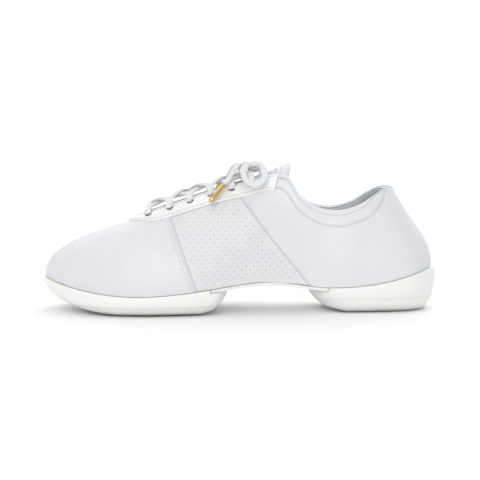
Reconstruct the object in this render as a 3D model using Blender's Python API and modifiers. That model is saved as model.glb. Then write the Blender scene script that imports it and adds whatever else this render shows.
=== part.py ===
"""Split-sole dance sneaker, left foot, standing empty on its two sole pads.

Metres, +Z up. +X points to the heel, -Y to the outer side of the foot.
The origin is on the floor, under the middle of the shoe.
"""

import math
from collections import namedtuple

import bmesh
import bpy
import numpy as np
from mathutils import Matrix

# Overall sizes of the shoe
SHOE_LENGTH = 0.265
BALL_WIDTH = 0.092
HEEL_WIDTH = 0.064
HEEL_TAB_HEIGHT = 0.083
ANKLE_HEIGHT = 0.068
INSTEP_HEIGHT = 0.092
VAMP_HEIGHT = 0.062
COLLAR_WIDTH = 0.057
THROAT_WIDTH = 0.027

# The two sole pads and the arch between them
FRONT_SOLE_HEIGHT = 0.0135
HEEL_SOLE_HEIGHT = 0.017
ARCH_RISE = 0.008
TOE_SPRING = 0.010
HEEL_CUP_RISE = 0.013
SOLE_FLARE = 0.0028
SOLE_END_HEIGHT = 0.003
FRONT_SOLE_LENGTH = 0.124
HEEL_SOLE_LENGTH = 0.088
ARCH_PANEL_THICKNESS = 0.002
ARCH_PANEL_LAP = 0.012
SPIN_SPOT_DIAMETER = 0.043
SPIN_SPOT_THICKNESS = 0.003
SPIN_SPOT_GROOVE = 0.0008

# Walls and overlays
UPPER_WALL = 0.0018
COLLAR_PADDING = 0.0030
COLLAR_PADDING_DEPTH = 0.020
INSOLE_THICKNESS = 0.0032
EYESTAY_THICKNESS = 0.0012
EYESTAY_WIDTH = 0.013
EYESTAY_TOE_WIDTH = 0.008
TONGUE_THICKNESS = 0.0028
TONGUE_WIDTH = 0.056
TONGUE_RISE = 0.014
GAP = 0.0003
LACE_CLEARANCE = 0.0009

# Lace
LACE_DIAMETER = 0.0038
LACE_CROSSINGS = 5
EYELET_INSET = 0.0050
LACE_END_STAGGER = 0.0011
KNOT_LENGTH = 0.012
KNOT_WIDTH = 0.011
KNOT_HEIGHT = 0.0075
AGLET_LENGTH = 0.015
AGLET_DIAMETER = 0.0036

# Places along the shoe, as shares of its length from the back of the heel
PADDING_FADES = 0.30
PADDING_ENDS = 0.37
EYESTAY_TOP = 0.405
TONGUE_FRONT = 0.735
TONGUE_NECK = 0.430
LACE_FIRST = 0.725
LACE_LAST = 0.470
FRONT_SPOT_PLACE = 0.713
HEEL_SPOT_PLACE = 0.153
FRONT_SPOT_SIDE = 0.003

# How full an arc over the throat is, against the throat's own width
TONGUE_CROWN = 1.0
LACE_CROWN = 0.45
TONGUE_TOP_FLICK = 0.001
TONGUE_TAPER = 0.30
TONGUE_SIDE_STEPS = 5

# How finely the surfaces are cut
RAYS = 76
WALL_STEPS = 11
PAD_STATIONS = 26
PAD_RING_STEPS = 8
STEP_WALL = 0.0001
BLUNT_END = 0.15
PAD_TIP_INSET = 0.0002
SPIN_SPOT_SIDES = 32
INSOLE_STATIONS = 30
ARCH_PANEL_STATIONS = 16
EYESTAY_STATIONS = 37
LACE_POINT_SPACING = 0.0084

# The free parts of the lace, from the middle of the knot: hand-placed points, in metres
KNOT_TILT = 20
KNOT_OVER_BAR = (0.0020, 0.0, 0.0030)
OUTER_LOOP = [
    (-0.0022, -0.0058, 0.0010), (-0.0046, -0.0116, 0.0018), (-0.0078, -0.0195, -0.0022),
    (-0.0062, -0.0262, -0.0080), (-0.0005, -0.0290, -0.0108), (0.0050, -0.0258, -0.0080),
    (0.0060, -0.0190, -0.0022), (0.0042, -0.0116, 0.0018), (0.0022, -0.0058, 0.0010),
]
INNER_LOOP = [
    (-0.0022, 0.0058, 0.0010), (-0.0048, 0.0120, 0.0018), (-0.0080, 0.0205, -0.0026),
    (-0.0058, 0.0275, -0.0090), (0.0002, 0.0300, -0.0118), (0.0058, 0.0268, -0.0090),
    (0.0064, 0.0195, -0.0024), (0.0044, 0.0118, 0.0018), (0.0022, 0.0058, 0.0010),
]
OUTER_END = [
    (-0.0072, -0.0020, -0.0004), (-0.0100, -0.0070, 0.0014), (-0.0130, -0.0130, -0.0006),
    (-0.0165, -0.0182, -0.0060), (-0.0208, -0.0214, -0.0112),
]
INNER_END = [
    (-0.0072, 0.0022, -0.0004), (-0.0104, 0.0074, 0.0016), (-0.0132, 0.0138, -0.0004),
    (-0.0160, 0.0190, -0.0054), (-0.0200, 0.0224, -0.0106),
]

# Where the pads end in the arch, and the arch panel that laps over both
FRONT_SOLE_BACK = FRONT_SOLE_LENGTH - SHOE_LENGTH / 2
HEEL_SOLE_FRONT = SHOE_LENGTH / 2 - HEEL_SOLE_LENGTH
ARCH_PANEL_FRONT = FRONT_SOLE_BACK - ARCH_PANEL_LAP
ARCH_PANEL_BACK = HEEL_SOLE_FRONT + ARCH_PANEL_LAP

# Each row is one line drawn up the upper, from its foot on the sole to its lip at the opening, the
# heel's first and the toe's last. foot and lip are shares of the length from the back of the heel,
# outer and inner are shares of the local width, tab to instep are shares of those three heights with
# the vamp's for the rest, collar and throat are shares of those widths, and fall is in degrees.
Ray = namedtuple("Ray", "foot outer inner lip tab ankle instep collar throat fall")
UPPER_RAYS = [
    Ray(0.011, 0.000, 0.000, 0.113, 1.00, 0.00, 0.00, 0.000, 0.000, 66),
    Ray(0.022, 0.180, 0.180, 0.119, 1.00, 0.00, 0.00, 0.158, 0.000, 67),
    Ray(0.057, 0.352, 0.352, 0.140, 0.93, 0.07, 0.00, 0.298, 0.000, 70),
    Ray(0.094, 0.445, 0.438, 0.170, 0.63, 0.37, 0.00, 0.395, 0.000, 74),
    Ray(0.151, 0.492, 0.484, 0.208, 0.23, 0.77, 0.00, 0.456, 0.000, 78),
    Ray(0.226, 0.500, 0.477, 0.260, 0.00, 1.00, 0.00, 0.491, 0.000, 80),
    Ray(0.302, 0.492, 0.438, 0.313, 0.00, 0.90, 0.10, 0.500, 0.000, 80),
    Ray(0.377, 0.467, 0.378, 0.355, 0.00, 0.56, 0.44, 0.456, 0.000, 76),
    Ray(0.453, 0.458, 0.345, 0.385, 0.00, 0.06, 0.94, 0.351, 0.000, 62),
    Ray(0.517, 0.464, 0.362, 0.426, 0.00, 0.00, 0.93, 0.000, 0.574, 46),
    Ray(0.577, 0.473, 0.389, 0.487, 0.00, 0.00, 0.78, 0.000, 0.500, 40),
    Ray(0.634, 0.485, 0.419, 0.551, 0.00, 0.00, 0.64, 0.000, 0.463, 38),
    Ray(0.698, 0.505, 0.462, 0.615, 0.00, 0.00, 0.46, 0.000, 0.419, 37),
    Ray(0.762, 0.505, 0.484, 0.675, 0.00, 0.00, 0.28, 0.000, 0.378, 36),
    Ray(0.830, 0.462, 0.467, 0.717, 0.00, 0.00, 0.15, 0.000, 0.344, 32),
    Ray(0.898, 0.364, 0.408, 0.740, 0.00, 0.00, 0.07, 0.000, 0.278, 27),
    Ray(0.955, 0.220, 0.285, 0.749, 0.00, 0.00, 0.02, 0.000, 0.167, 22),
    Ray(0.982, 0.105, 0.165, 0.751, 0.00, 0.00, 0.00, 0.000, 0.081, 20),
    Ray(0.991, 0.033, 0.033, 0.752, 0.00, 0.00, 0.00, 0.000, 0.000, 19),
]
RISE_REACH = 0.30
FALL_REACH = 0.40
WALL_BULGE = 0.03

# The seam between upper and sole: shares of the heights that make it, from heel to toe
Seam = namedtuple("Seam", "along front heel arch toe cup")
SEAM_LINE = [
    Seam(0.000, 0.0, 1.0, 0.00, 0.00, 1.00),
    Seam(0.064, 0.0, 1.0, 0.00, 0.00, 0.65),
    Seam(0.132, 0.0, 1.0, 0.00, 0.00, 0.31),
    Seam(0.196, 0.0, 1.0, 0.00, 0.00, 0.10),
    Seam(0.260, 0.0, 1.0, 0.02, 0.00, 0.00),
    Seam(0.332, 0.1, 0.9, 0.20, 0.00, 0.00),
    Seam(0.377, 0.4, 0.6, 0.55, 0.00, 0.00),
    Seam(0.426, 0.8, 0.2, 0.88, 0.00, 0.00),
    Seam(0.491, 1.0, 0.0, 0.88, 0.00, 0.00),
    Seam(0.555, 1.0, 0.0, 0.60, 0.00, 0.00),
    Seam(0.608, 1.0, 0.0, 0.36, 0.00, 0.00),
    Seam(0.687, 1.0, 0.0, 0.10, 0.00, 0.00),
    Seam(0.751, 1.0, 0.0, 0.00, 0.00, 0.00),
    Seam(0.819, 1.0, 0.0, 0.00, 0.07, 0.00),
    Seam(0.883, 1.0, 0.0, 0.00, 0.28, 0.00),
    Seam(0.949, 1.0, 0.0, 0.00, 0.62, 0.00),
    Seam(1.000, 1.0, 0.0, 0.00, 1.00, 0.00),
]

# The underside of each pad, from its back end to its front: share of the pad's length, and how far
# the underside has risen from the floor to the seam
Tread = namedtuple("Tread", "share lift")
FRONT_TREAD = [
    Tread(0.00, 1.00), Tread(0.02, 0.72), Tread(0.05, 0.43), Tread(0.10, 0.15), Tread(0.15, 0.0),
    Tread(0.58, 0.0), Tread(0.66, 0.06), Tread(0.75, 0.20), Tread(0.85, 0.42), Tread(0.95, 0.72),
    Tread(1.00, 1.00),
]
HEEL_TREAD = [
    Tread(0.00, 0.72), Tread(0.03, 0.38), Tread(0.08, 0.14), Tread(0.16, 0.02), Tread(0.21, 0.0),
    Tread(0.71, 0.0), Tread(0.78, 0.10), Tread(0.88, 0.32), Tread(0.96, 0.68), Tread(1.00, 1.00),
]
TREAD_SINK = 0.0008
PAD_SQUARENESS = 4.0
PAD_LIP_TUCK = 0.0012
PAD_LIP_DEPTH = 0.005
PAD_LEAST = 0.0008
TOE_TIP_ROUND = 0.004
HEEL_TIP_ROUND = 0.006
FRONT_CUT_ROUND = 0.014
HEEL_CUT_ROUND = 0.026


def start_empty():
    for old in list(bpy.data.objects):
        bpy.data.objects.remove(old)


def collection(name):
    made = bpy.data.collections.new(name)
    bpy.context.scene.collection.children.link(made)
    return made


def material(name, colour, roughness, metallic=0.0):
    made = bpy.data.materials.new(name)
    made.use_nodes = True
    shader = made.node_tree.nodes["Principled BSDF"]
    shader.inputs["Base Color"].default_value = (*colour, 1.0)
    shader.inputs["Roughness"].default_value = roughness
    shader.inputs["Metallic"].default_value = metallic
    return made


def add_object(name, mesh, finish, home):
    made = bpy.data.objects.new(name, mesh)
    made.data.materials.append(finish)
    home.objects.link(made)
    return made


def smooth_step(low, high, value):
    share = np.clip((value - low) / (high - low), 0.0, 1.0)
    return share * share * (3.0 - 2.0 * share)


def curve_through(places, values, at):
    """A smooth curve through a table's rows, whose places may be unevenly spaced."""
    places = np.asarray(places, float)
    values = np.asarray(values, float)
    slopes = np.gradient(values, places)
    at = np.clip(at, places[0], places[-1])
    row = np.clip(np.searchsorted(places, at, side="right") - 1, 0, len(places) - 2)
    width = places[row + 1] - places[row]
    t = (at - places[row]) / width
    return (
        (2 * t**3 - 3 * t**2 + 1) * values[row]
        + (t**3 - 2 * t**2 + t) * width * slopes[row]
        + (3 * t**2 - 2 * t**3) * values[row + 1]
        + (t**3 - t**2) * width * slopes[row + 1]
    )


def along_to_x(along):
    return SHOE_LENGTH * (0.5 - along)


def x_to_along(x):
    return 0.5 - x / SHOE_LENGTH


def seam_height(along):
    heights = [
        row.front * FRONT_SOLE_HEIGHT + row.heel * HEEL_SOLE_HEIGHT + row.arch * ARCH_RISE
        + row.toe * TOE_SPRING + row.cup * HEEL_CUP_RISE
        for row in SEAM_LINE
    ]
    return curve_through([row.along for row in SEAM_LINE], heights, along)


def local_width(along):
    return HEEL_WIDTH + (BALL_WIDTH - HEEL_WIDTH) * smooth_step(0.30, 0.65, along)


def loop_of(outer_points, inner_points):
    """One closed loop, clockwise from above: heel, outer side, toe, inner side."""
    return np.array(outer_points + inner_points[-2:0:-1])


def outward_of(loop):
    """The level direction that points away from the shoe at each point of a clockwise loop."""
    run = np.roll(loop, -1, axis=0) - np.roll(loop, 1, axis=0)
    away = np.stack([-run[:, 1], run[:, 0], np.zeros(len(loop))], axis=1)
    return away / np.linalg.norm(away, axis=1, keepdims=True)


def control_rays():
    """Four points for each ray: its foot, two that shape its wall, and its lip."""
    feet = {"outer": [], "inner": []}
    lips = {"outer": [], "inner": []}
    for row in UPPER_RAYS:
        lip_height = (
            row.tab * HEEL_TAB_HEIGHT + row.ankle * ANKLE_HEIGHT + row.instep * INSTEP_HEIGHT
            + (1.0 - row.tab - row.ankle - row.instep) * VAMP_HEIGHT
        )
        lip_half = row.collar * COLLAR_WIDTH + row.throat * THROAT_WIDTH
        for side, sign, share in (("outer", -1.0, row.outer), ("inner", 1.0, row.inner)):
            half = share * local_width(row.foot)
            feet[side].append((along_to_x(row.foot), sign * half, seam_height(row.foot)))
            lips[side].append((along_to_x(row.lip), sign * lip_half, lip_height))
    foot = loop_of(feet["outer"], feet["inner"])
    lip = loop_of(lips["outer"], lips["inner"])
    falls = np.radians([row.fall for row in UPPER_RAYS])
    falls = np.concatenate([falls, falls[-2:0:-1]])[:, None]
    chord = np.linalg.norm(lip - foot, axis=1, keepdims=True)
    up = np.array([[0.0, 0.0, 1.0]])
    rising = foot + RISE_REACH * chord * up + WALL_BULGE * chord * outward_of(foot)
    falling = lip + FALL_REACH * chord * (np.cos(falls) * outward_of(lip) - np.sin(falls) * up)
    return np.stack([foot, rising, falling, lip], axis=1)


def rays_at(turns):
    """The control points of rays at these turns, which run from 0 at the heel to 1 there again."""
    rows = control_rays()
    count = len(rows)
    place = np.asarray(turns, float) * count
    first = np.floor(place).astype(int)
    t = (place - first)[:, None, None]
    a, b, c, d = (rows[(first + step) % count] for step in (-1, 0, 1, 2))
    return 0.5 * (
        2 * b + (c - a) * t + (2 * a - 5 * b + 4 * c - d) * t**2 + (3 * b - a - 3 * c + d) * t**3
    )


def wall_points(turns, downs):
    """Points on the outside of the upper. downs holds, for each ray, its distances below the lip."""
    control = rays_at(turns)
    t = np.linspace(1.0, 0.0, 41)[None, :, None]
    foot, rising, falling, lip = (control[:, None, k] for k in range(4))
    line = (
        (1 - t)**3 * foot + 3 * t * (1 - t)**2 * rising + 3 * t**2 * (1 - t) * falling + t**3 * lip
    )
    step = np.linalg.norm(np.diff(line, axis=1), axis=2)
    length = np.concatenate([np.zeros((len(line), 1)), np.cumsum(step, axis=1)], axis=1)
    found = np.empty((len(line), len(downs[0]), 3))
    for ray in range(len(line)):
        wanted = np.clip(downs[ray], 0.0, length[ray, -1])
        for axis in range(3):
            found[ray, :, axis] = np.interp(wanted, length[ray], line[ray, :, axis])
    return found


def wall_lengths(turns):
    far = wall_points(turns, [np.linspace(0.0, 1.0, 60) * SHOE_LENGTH] * len(turns))
    return np.linalg.norm(np.diff(far, axis=1), axis=2).sum(axis=1)


def outward_normals(grid, closed):
    """Unit normals of a grid of points, its first axis running clockwise and its second downwards."""
    if closed:
        run = np.roll(grid, -1, axis=0) - np.roll(grid, 1, axis=0)
    else:
        run = np.gradient(grid, axis=0)
    fall = np.gradient(grid, axis=1)
    normal = np.cross(run, fall)
    return normal / np.linalg.norm(normal, axis=2, keepdims=True)


def solid_between(name, front, back, closed):
    """One closed solid between two grids of the same size; closed joins the last row to the first."""
    rows, columns = front.shape[:2]
    mesh = bmesh.new()
    layers = [
        [[mesh.verts.new(point) for point in row] for row in grid] for grid in (front, back)
    ]
    last = rows if closed else rows - 1
    for layer in layers:
        for i in range(last):
            for j in range(columns - 1):
                near, far = layer[i], layer[(i + 1) % rows]
                mesh.faces.new((near[j], near[j + 1], far[j + 1], far[j]))
    top, bottom = layers
    for j in (0, columns - 1):
        for i in range(last):
            k = (i + 1) % rows
            mesh.faces.new((top[i][j], top[k][j], bottom[k][j], bottom[i][j]))
    if not closed:
        for i in (0, rows - 1):
            for j in range(columns - 1):
                mesh.faces.new((top[i][j], top[i][j + 1], bottom[i][j + 1], bottom[i][j]))
    return finish_mesh(name, mesh)


def finish_mesh(name, mesh):
    bmesh.ops.recalc_face_normals(mesh, faces=mesh.faces)
    made = bpy.data.meshes.new(name)
    mesh.to_mesh(made)
    mesh.free()
    made.shade_smooth()
    made.set_sharp_from_angle(angle=math.radians(40))
    return made


def upper_grids(turns, closed):
    lengths = wall_lengths(turns)
    downs = [np.linspace(0.0, 1.0, WALL_STEPS) ** 0.9 * length for length in lengths]
    outside = wall_points(turns, downs)
    collar = 1.0 - smooth_step(PADDING_FADES, PADDING_ENDS, x_to_along(outside[:, :1, 0]))
    below = np.array(downs) / COLLAR_PADDING_DEPTH
    swell = smooth_step(-0.2, 0.15, below) * (1.0 - smooth_step(0.55, 1.0, below))
    wall = UPPER_WALL + COLLAR_PADDING * collar * swell
    inside = outside - outward_normals(outside, closed) * wall[:, :, None]
    return outside, inside


def make_upper(finish, home):
    turns = np.arange(RAYS) / RAYS
    outside, inside = upper_grids(turns, closed=True)
    inside[:, -1, 2] = outside[:, -1, 2]
    return add_object("upper", solid_between("upper", outside, inside, closed=True), finish, home)


def foot_outline(margin):
    """The upper's foot moved outwards by margin: half widths on the outer and inner side against x."""
    feet = rays_at(np.arange(720) / 720)[:, 0]
    moved = feet + margin * outward_of(feet)
    toe = int(np.argmin(moved[:, 0]))
    heel = int(np.argmax(moved[:, 0]))
    moved = np.roll(moved, -heel, axis=0)
    toe = (toe - heel) % len(moved)
    outer = moved[: toe + 1][::-1]
    inner = np.concatenate([moved[toe:], moved[:1]])
    return outer, inner


def side_lines(outline, x):
    outer, inner = outline
    return (np.interp(x, outer[:, 0], outer[:, 1]), np.interp(x, inner[:, 0], inner[:, 1]))


def end_spaced(low, high, count):
    """Places from low to high, closer together at both ends."""
    return low + (high - low) * (0.5 - 0.5 * np.cos(np.linspace(0.0, np.pi, count)))


def rounded_end(distance, radius, power):
    """1 away from an end, falling to a blunt tip at it along a rounded corner."""
    reach = np.clip(1.0 - distance / radius, 0.0, 1.0)
    return max((1.0 - reach**power) ** (1.0 / power), BLUNT_END)


def pad_stations(front, back, step):
    """Places along a pad, closer together at its ends, with a pair at the step under the arch panel."""
    spaced = end_spaced(front, back, PAD_STATIONS)
    spaced = spaced[np.abs(spaced - step) > 0.001]
    return np.sort(np.concatenate([spaced, [step, step + STEP_WALL]]))


def pad_ring(place, span, outline, tread, shape):
    """The section of a pad at one x: round its side and under it, open along its level top."""
    front, back = span
    share = (back - place) / (back - front)
    seam = seam_height(x_to_along(place)) - GAP
    lift = curve_through([row.share for row in tread], [row.lift for row in tread], share)
    bottom = np.clip(lift, 0.0, 1.0) * (seam - SOLE_END_HEIGHT + TREAD_SINK) - TREAD_SINK
    margin = GAP + STEP_WALL / 2
    lowered = ARCH_PANEL_FRONT - margin < place < ARCH_PANEL_BACK + margin
    top = seam - (ARCH_PANEL_THICKNESS + GAP if lowered else 0.0)
    bottom = min(bottom, top - PAD_LEAST)
    middle = 0.5 * (top + bottom)
    squeeze = rounded_end(shape.tip_distance(place), shape.tip_round, 2.0)
    top = middle + (top - middle) * squeeze
    bottom = middle + (bottom - middle) * squeeze
    outer, inner = side_lines(outline, place)
    centre = 0.5 * (outer + inner)
    half = 0.5 * (inner - outer)
    half *= rounded_end(shape.cut_distance(place), shape.cut_radius, shape.cut_power)
    quarter = np.linspace(0.0, 1.0, PAD_RING_STEPS)
    turn = 0.5 * np.pi * quarter**2 * (3.0 - 2.0 * quarter)
    turn = np.concatenate([turn, np.pi - turn[-2::-1]])
    power = 2.0 / PAD_SQUARENESS
    height = np.maximum(top - (top - bottom) * np.abs(np.sin(turn)) ** power, 0.0)
    tuck = PAD_LIP_TUCK * np.clip(1.0 - (top - height) / PAD_LIP_DEPTH, 0.0, 1.0) ** 2
    reach = np.sign(np.cos(turn)) * np.maximum(half * np.abs(np.cos(turn)) ** power - tuck, 0.0)
    return np.stack([np.full(len(turn), place), centre + reach, height], axis=1)


def loft(name, rings):
    """A closed solid through rings of points, with a flat face at each end."""
    mesh = bmesh.new()
    rows = [[mesh.verts.new(point) for point in ring] for ring in rings]
    for near, far in zip(rows, rows[1:]):
        for j in range(len(near)):
            k = (j + 1) % len(near)
            mesh.faces.new((near[j], near[k], far[k], far[j]))
    mesh.faces.new(rows[0])
    mesh.faces.new(rows[-1])
    return finish_mesh(name, mesh)


PadShape = namedtuple("PadShape", "tip_distance tip_round cut_distance cut_radius cut_power")


def make_pad(name, span, step, tread, shape, spot, finish, home, cutters):
    outline = foot_outline(SOLE_FLARE)
    rings = [pad_ring(x, span, outline, tread, shape) for x in pad_stations(*span, step)]
    pad = add_object(name, loft(name, rings), finish, home)
    recess = bpy.data.meshes.new(name + "_recess")
    shaped = bmesh.new()
    depth = SPIN_SPOT_THICKNESS + GAP
    bmesh.ops.create_cone(
        shaped, cap_ends=True, segments=SPIN_SPOT_SIDES, radius1=SPIN_SPOT_DIAMETER / 2 + GAP,
        radius2=SPIN_SPOT_DIAMETER / 2 + GAP, depth=2 * depth,
    )
    shaped.to_mesh(recess)
    shaped.free()
    cutter = bpy.data.objects.new(name + "_recess", recess)
    cutter.location = spot
    cutter.hide_render = True
    cutter.display_type = "WIRE"
    cutters.objects.link(cutter)
    cut = pad.modifiers.new("spot recess", "BOOLEAN")
    cut.operation = "DIFFERENCE"
    cut.object = cutter
    return pad


# Half of a spin spot's section, from its rim to its middle: shares of the radius and of the groove
SpotRing = namedtuple("SpotRing", "radius depth")
SPOT_RINGS = [
    SpotRing(1.00, 0.5), SpotRing(0.97, 0.0), SpotRing(0.76, 0.0), SpotRing(0.74, 1.0),
    SpotRing(0.69, 1.0), SpotRing(0.67, 0.3), SpotRing(0.58, 0.0), SpotRing(0.22, 0.1),
    SpotRing(0.10, 0.7), SpotRing(0.00, 0.9),
]


def make_spin_spot(name, place, finish, home):
    radius = SPIN_SPOT_DIAMETER / 2
    section = [(0.0, SPIN_SPOT_THICKNESS), (radius, SPIN_SPOT_THICKNESS)]
    section += [(row.radius * radius, row.depth * SPIN_SPOT_GROOVE) for row in SPOT_RINGS]
    mesh = bpy.data.meshes.new(name)
    edges = [(i, i + 1) for i in range(len(section) - 1)]
    mesh.from_pydata([(x, 0.0, z) for x, z in section], edges, [])
    spot = add_object(name, mesh, finish, home)
    spot.location = place
    turned = spot.modifiers.new("turned", "SCREW")
    turned.steps = SPIN_SPOT_SIDES
    turned.render_steps = SPIN_SPOT_SIDES
    turned.use_merge_vertices = True
    turned.merge_threshold = 0.00001
    turned.use_smooth_shade = False
    return spot


def level_plate(name, outline, places, low, high, finish, home):
    """A plate under the foot that follows the seam, from low to high above it."""
    across = np.linspace(0.0, 1.0, 7)
    rows = []
    for place in places:
        outer, inner = side_lines(outline, place)
        height = seam_height(x_to_along(place))
        rows.append([(place, outer + (inner - outer) * share, height) for share in across])
    grid = np.array(rows)
    upper_face = grid + np.array([0.0, 0.0, high])
    lower_face = grid + np.array([0.0, 0.0, low])
    return add_object(name, solid_between(name, upper_face, lower_face, closed=False), finish, home)


def make_insole(finish, home):
    outline = foot_outline(-(UPPER_WALL + 2 * GAP))
    places = end_spaced(outline[0][0, 0] + GAP, outline[0][-1, 0] - GAP, INSOLE_STATIONS)
    return level_plate("insole", outline, places, 0.0, INSOLE_THICKNESS, finish, home)


def make_arch_panel(finish, home):
    outline = foot_outline(-GAP)
    places = np.linspace(ARCH_PANEL_FRONT, ARCH_PANEL_BACK, ARCH_PANEL_STATIONS)
    low = -GAP - ARCH_PANEL_THICKNESS
    return level_plate("arch_panel", outline, places, low, -GAP, finish, home)


def offset_points(turns, downs, out):
    """Points at a height out from the upper's outside, each ray's downs below its lip."""
    turns = np.asarray(turns, float)
    downs = np.asarray(downs, float)
    run = wall_points(turns + 0.002, downs) - wall_points(turns - 0.002, downs)
    fall = wall_points(turns, downs + 0.0015) - wall_points(turns, np.maximum(downs - 0.0015, 0.0))
    normal = np.cross(run, fall)
    normal /= np.linalg.norm(normal, axis=2, keepdims=True)
    return wall_points(turns, downs) + normal * out


def turn_at_lip(along, inner_side):
    """Where round the shoe the lip of the throat lies at this share of the length."""
    turns = np.linspace(0.16, 0.5, 400)
    lips = x_to_along(rays_at(turns)[:, 3, 0])
    found = float(np.interp(along, np.maximum.accumulate(lips), turns))
    return 1.0 - found if inner_side else found


def make_eyestay(finish, home):
    """The facing round the throat: a band of the upper's own surface, set proud of it."""
    ends = [turn_at_lip(EYESTAY_TOP, inner_side) for inner_side in (False, True)]
    turns = np.linspace(ends[0], ends[1], EYESTAY_STATIONS)
    lips = x_to_along(rays_at(turns)[:, 3, 0])
    narrow = smooth_step(0.70, 0.75, lips)
    widths = EYESTAY_WIDTH + (EYESTAY_TOE_WIDTH - EYESTAY_WIDTH) * narrow
    downs = widths[:, None] * np.linspace(0.0, 1.0, 5)[None, :]
    under = offset_points(turns, downs, GAP)
    over = offset_points(turns, downs, GAP + EYESTAY_THICKNESS)
    return add_object("eyestay", solid_between("eyestay", over, under, closed=False), finish, home)


def bridge(first, first_way, second, second_way, shares):
    """Points on a smooth arc that leaves first along first_way and reaches second along second_way."""
    t = np.asarray(shares)[:, None]
    return (
        (2 * t**3 - 3 * t**2 + 1) * first + (t**3 - 2 * t**2 + t) * first_way
        + (3 * t**2 - 2 * t**3) * second + (t**3 - t**2) * second_way
    )


def across_throat(turn_pair, depths, out, reach, shares):
    """A line up the upper's outer side, over the open throat and down the inner side."""
    sides = [offset_points([turn], [depths], out)[0] for turn in turn_pair]
    lips = [side[0] for side in sides]
    ways = []
    for side in sides:
        way = side[0] - side[1]
        ways.append(way / np.linalg.norm(way) * reach * np.linalg.norm(lips[0] - lips[1]))
    middle = bridge(lips[0], ways[0], lips[1], -ways[1], shares)
    return np.concatenate([sides[0][::-1], middle, sides[1]])


def make_tongue(finish, home):
    """A padded tongue under the throat, its sides tucked below the upper, its top standing free."""
    side_depths = np.linspace(0.0, 0.5 * (TONGUE_WIDTH - THROAT_WIDTH), TONGUE_SIDE_STEPS)
    shares = np.linspace(0.0, 1.0, 9)[1:-1]
    rows = []
    for along in np.linspace(TONGUE_FRONT, TONGUE_NECK, 14):
        pair = [turn_at_lip(along, inner_side) for inner_side in (False, True)]
        under_wall = -(UPPER_WALL + 2 * GAP)
        rows.append(across_throat(pair, side_depths, under_wall, TONGUE_CROWN, shares))
    rows = np.array(rows)
    rise = rows[-1] - rows[-2]
    rise = rise / np.linalg.norm(rise, axis=1, keepdims=True)
    neck = rows[-1]
    for step in (0.25, 0.5, 0.75, 1.0):
        added = neck + rise * TONGUE_RISE * step + np.array([0.0, 0.0, TONGUE_TOP_FLICK * step**2])
        added[:, 1] *= 1.0 - TONGUE_TAPER * step
        rows = np.concatenate([rows, [added]])
    normal = outward_normals(rows, closed=False)
    normal *= np.sign(normal[:, len(side_depths) + 3, 2])[:, None, None]
    under = rows - normal * TONGUE_THICKNESS
    return add_object("tongue", solid_between("tongue", rows, under, closed=False), finish, home)


def smooth_line(points, spacing):
    """Evenly spaced points on a smooth curve through the given ones."""
    points = np.array(points, float)
    ends = np.concatenate([[2 * points[0] - points[1]], points, [2 * points[-1] - points[-2]]])
    line = [points[0]]
    for a, b, c, d in zip(ends, ends[1:], ends[2:], ends[3:]):
        for t in np.linspace(0.0, 1.0, 13)[1:]:
            line.append(0.5 * (
                2 * b + (c - a) * t + (2 * a - 5 * b + 4 * c - d) * t**2
                + (3 * b - a - 3 * c + d) * t**3
            ))
    line = np.array(line)
    length = np.concatenate([[0.0], np.cumsum(np.linalg.norm(np.diff(line, axis=0), axis=1))])
    places = np.linspace(0.0, length[-1], max(3, round(length[-1] / spacing) + 1))
    return np.stack([np.interp(places, length, line[:, k]) for k in range(3)], axis=1)


def make_tube(name, points, diameter, finish, home):
    """A round cord through these points."""
    curve = bpy.data.curves.new(name, "CURVE")
    curve.dimensions = "3D"
    curve.bevel_depth = diameter / 2
    curve.bevel_resolution = 2
    curve.use_fill_caps = True
    spline = curve.splines.new("POLY")
    spline.points.add(len(points) - 1)
    for place, point in zip(spline.points, points):
        place.co = (*point, 1.0)
    return add_object(name, curve, finish, home)


def as_mesh_object(tube, home):
    """The same tube as a mesh with welded caps, so that it can be joined to others."""
    graph = bpy.context.evaluated_depsgraph_get()
    mesh = bpy.data.meshes.new_from_object(tube.evaluated_get(graph))
    shaped = bmesh.new()
    shaped.from_mesh(mesh)
    bmesh.ops.remove_doubles(shaped, verts=shaped.verts, dist=0.000001)
    bmesh.ops.recalc_face_normals(shaped, faces=shaped.faces)
    shaped.to_mesh(mesh)
    shaped.free()
    name = tube.name
    place = tube.matrix_world.copy()
    bpy.data.objects.remove(tube)
    mesh.name = name
    made = bpy.data.objects.new(name, mesh)
    made.matrix_world = place
    home.objects.link(made)
    return made


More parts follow.
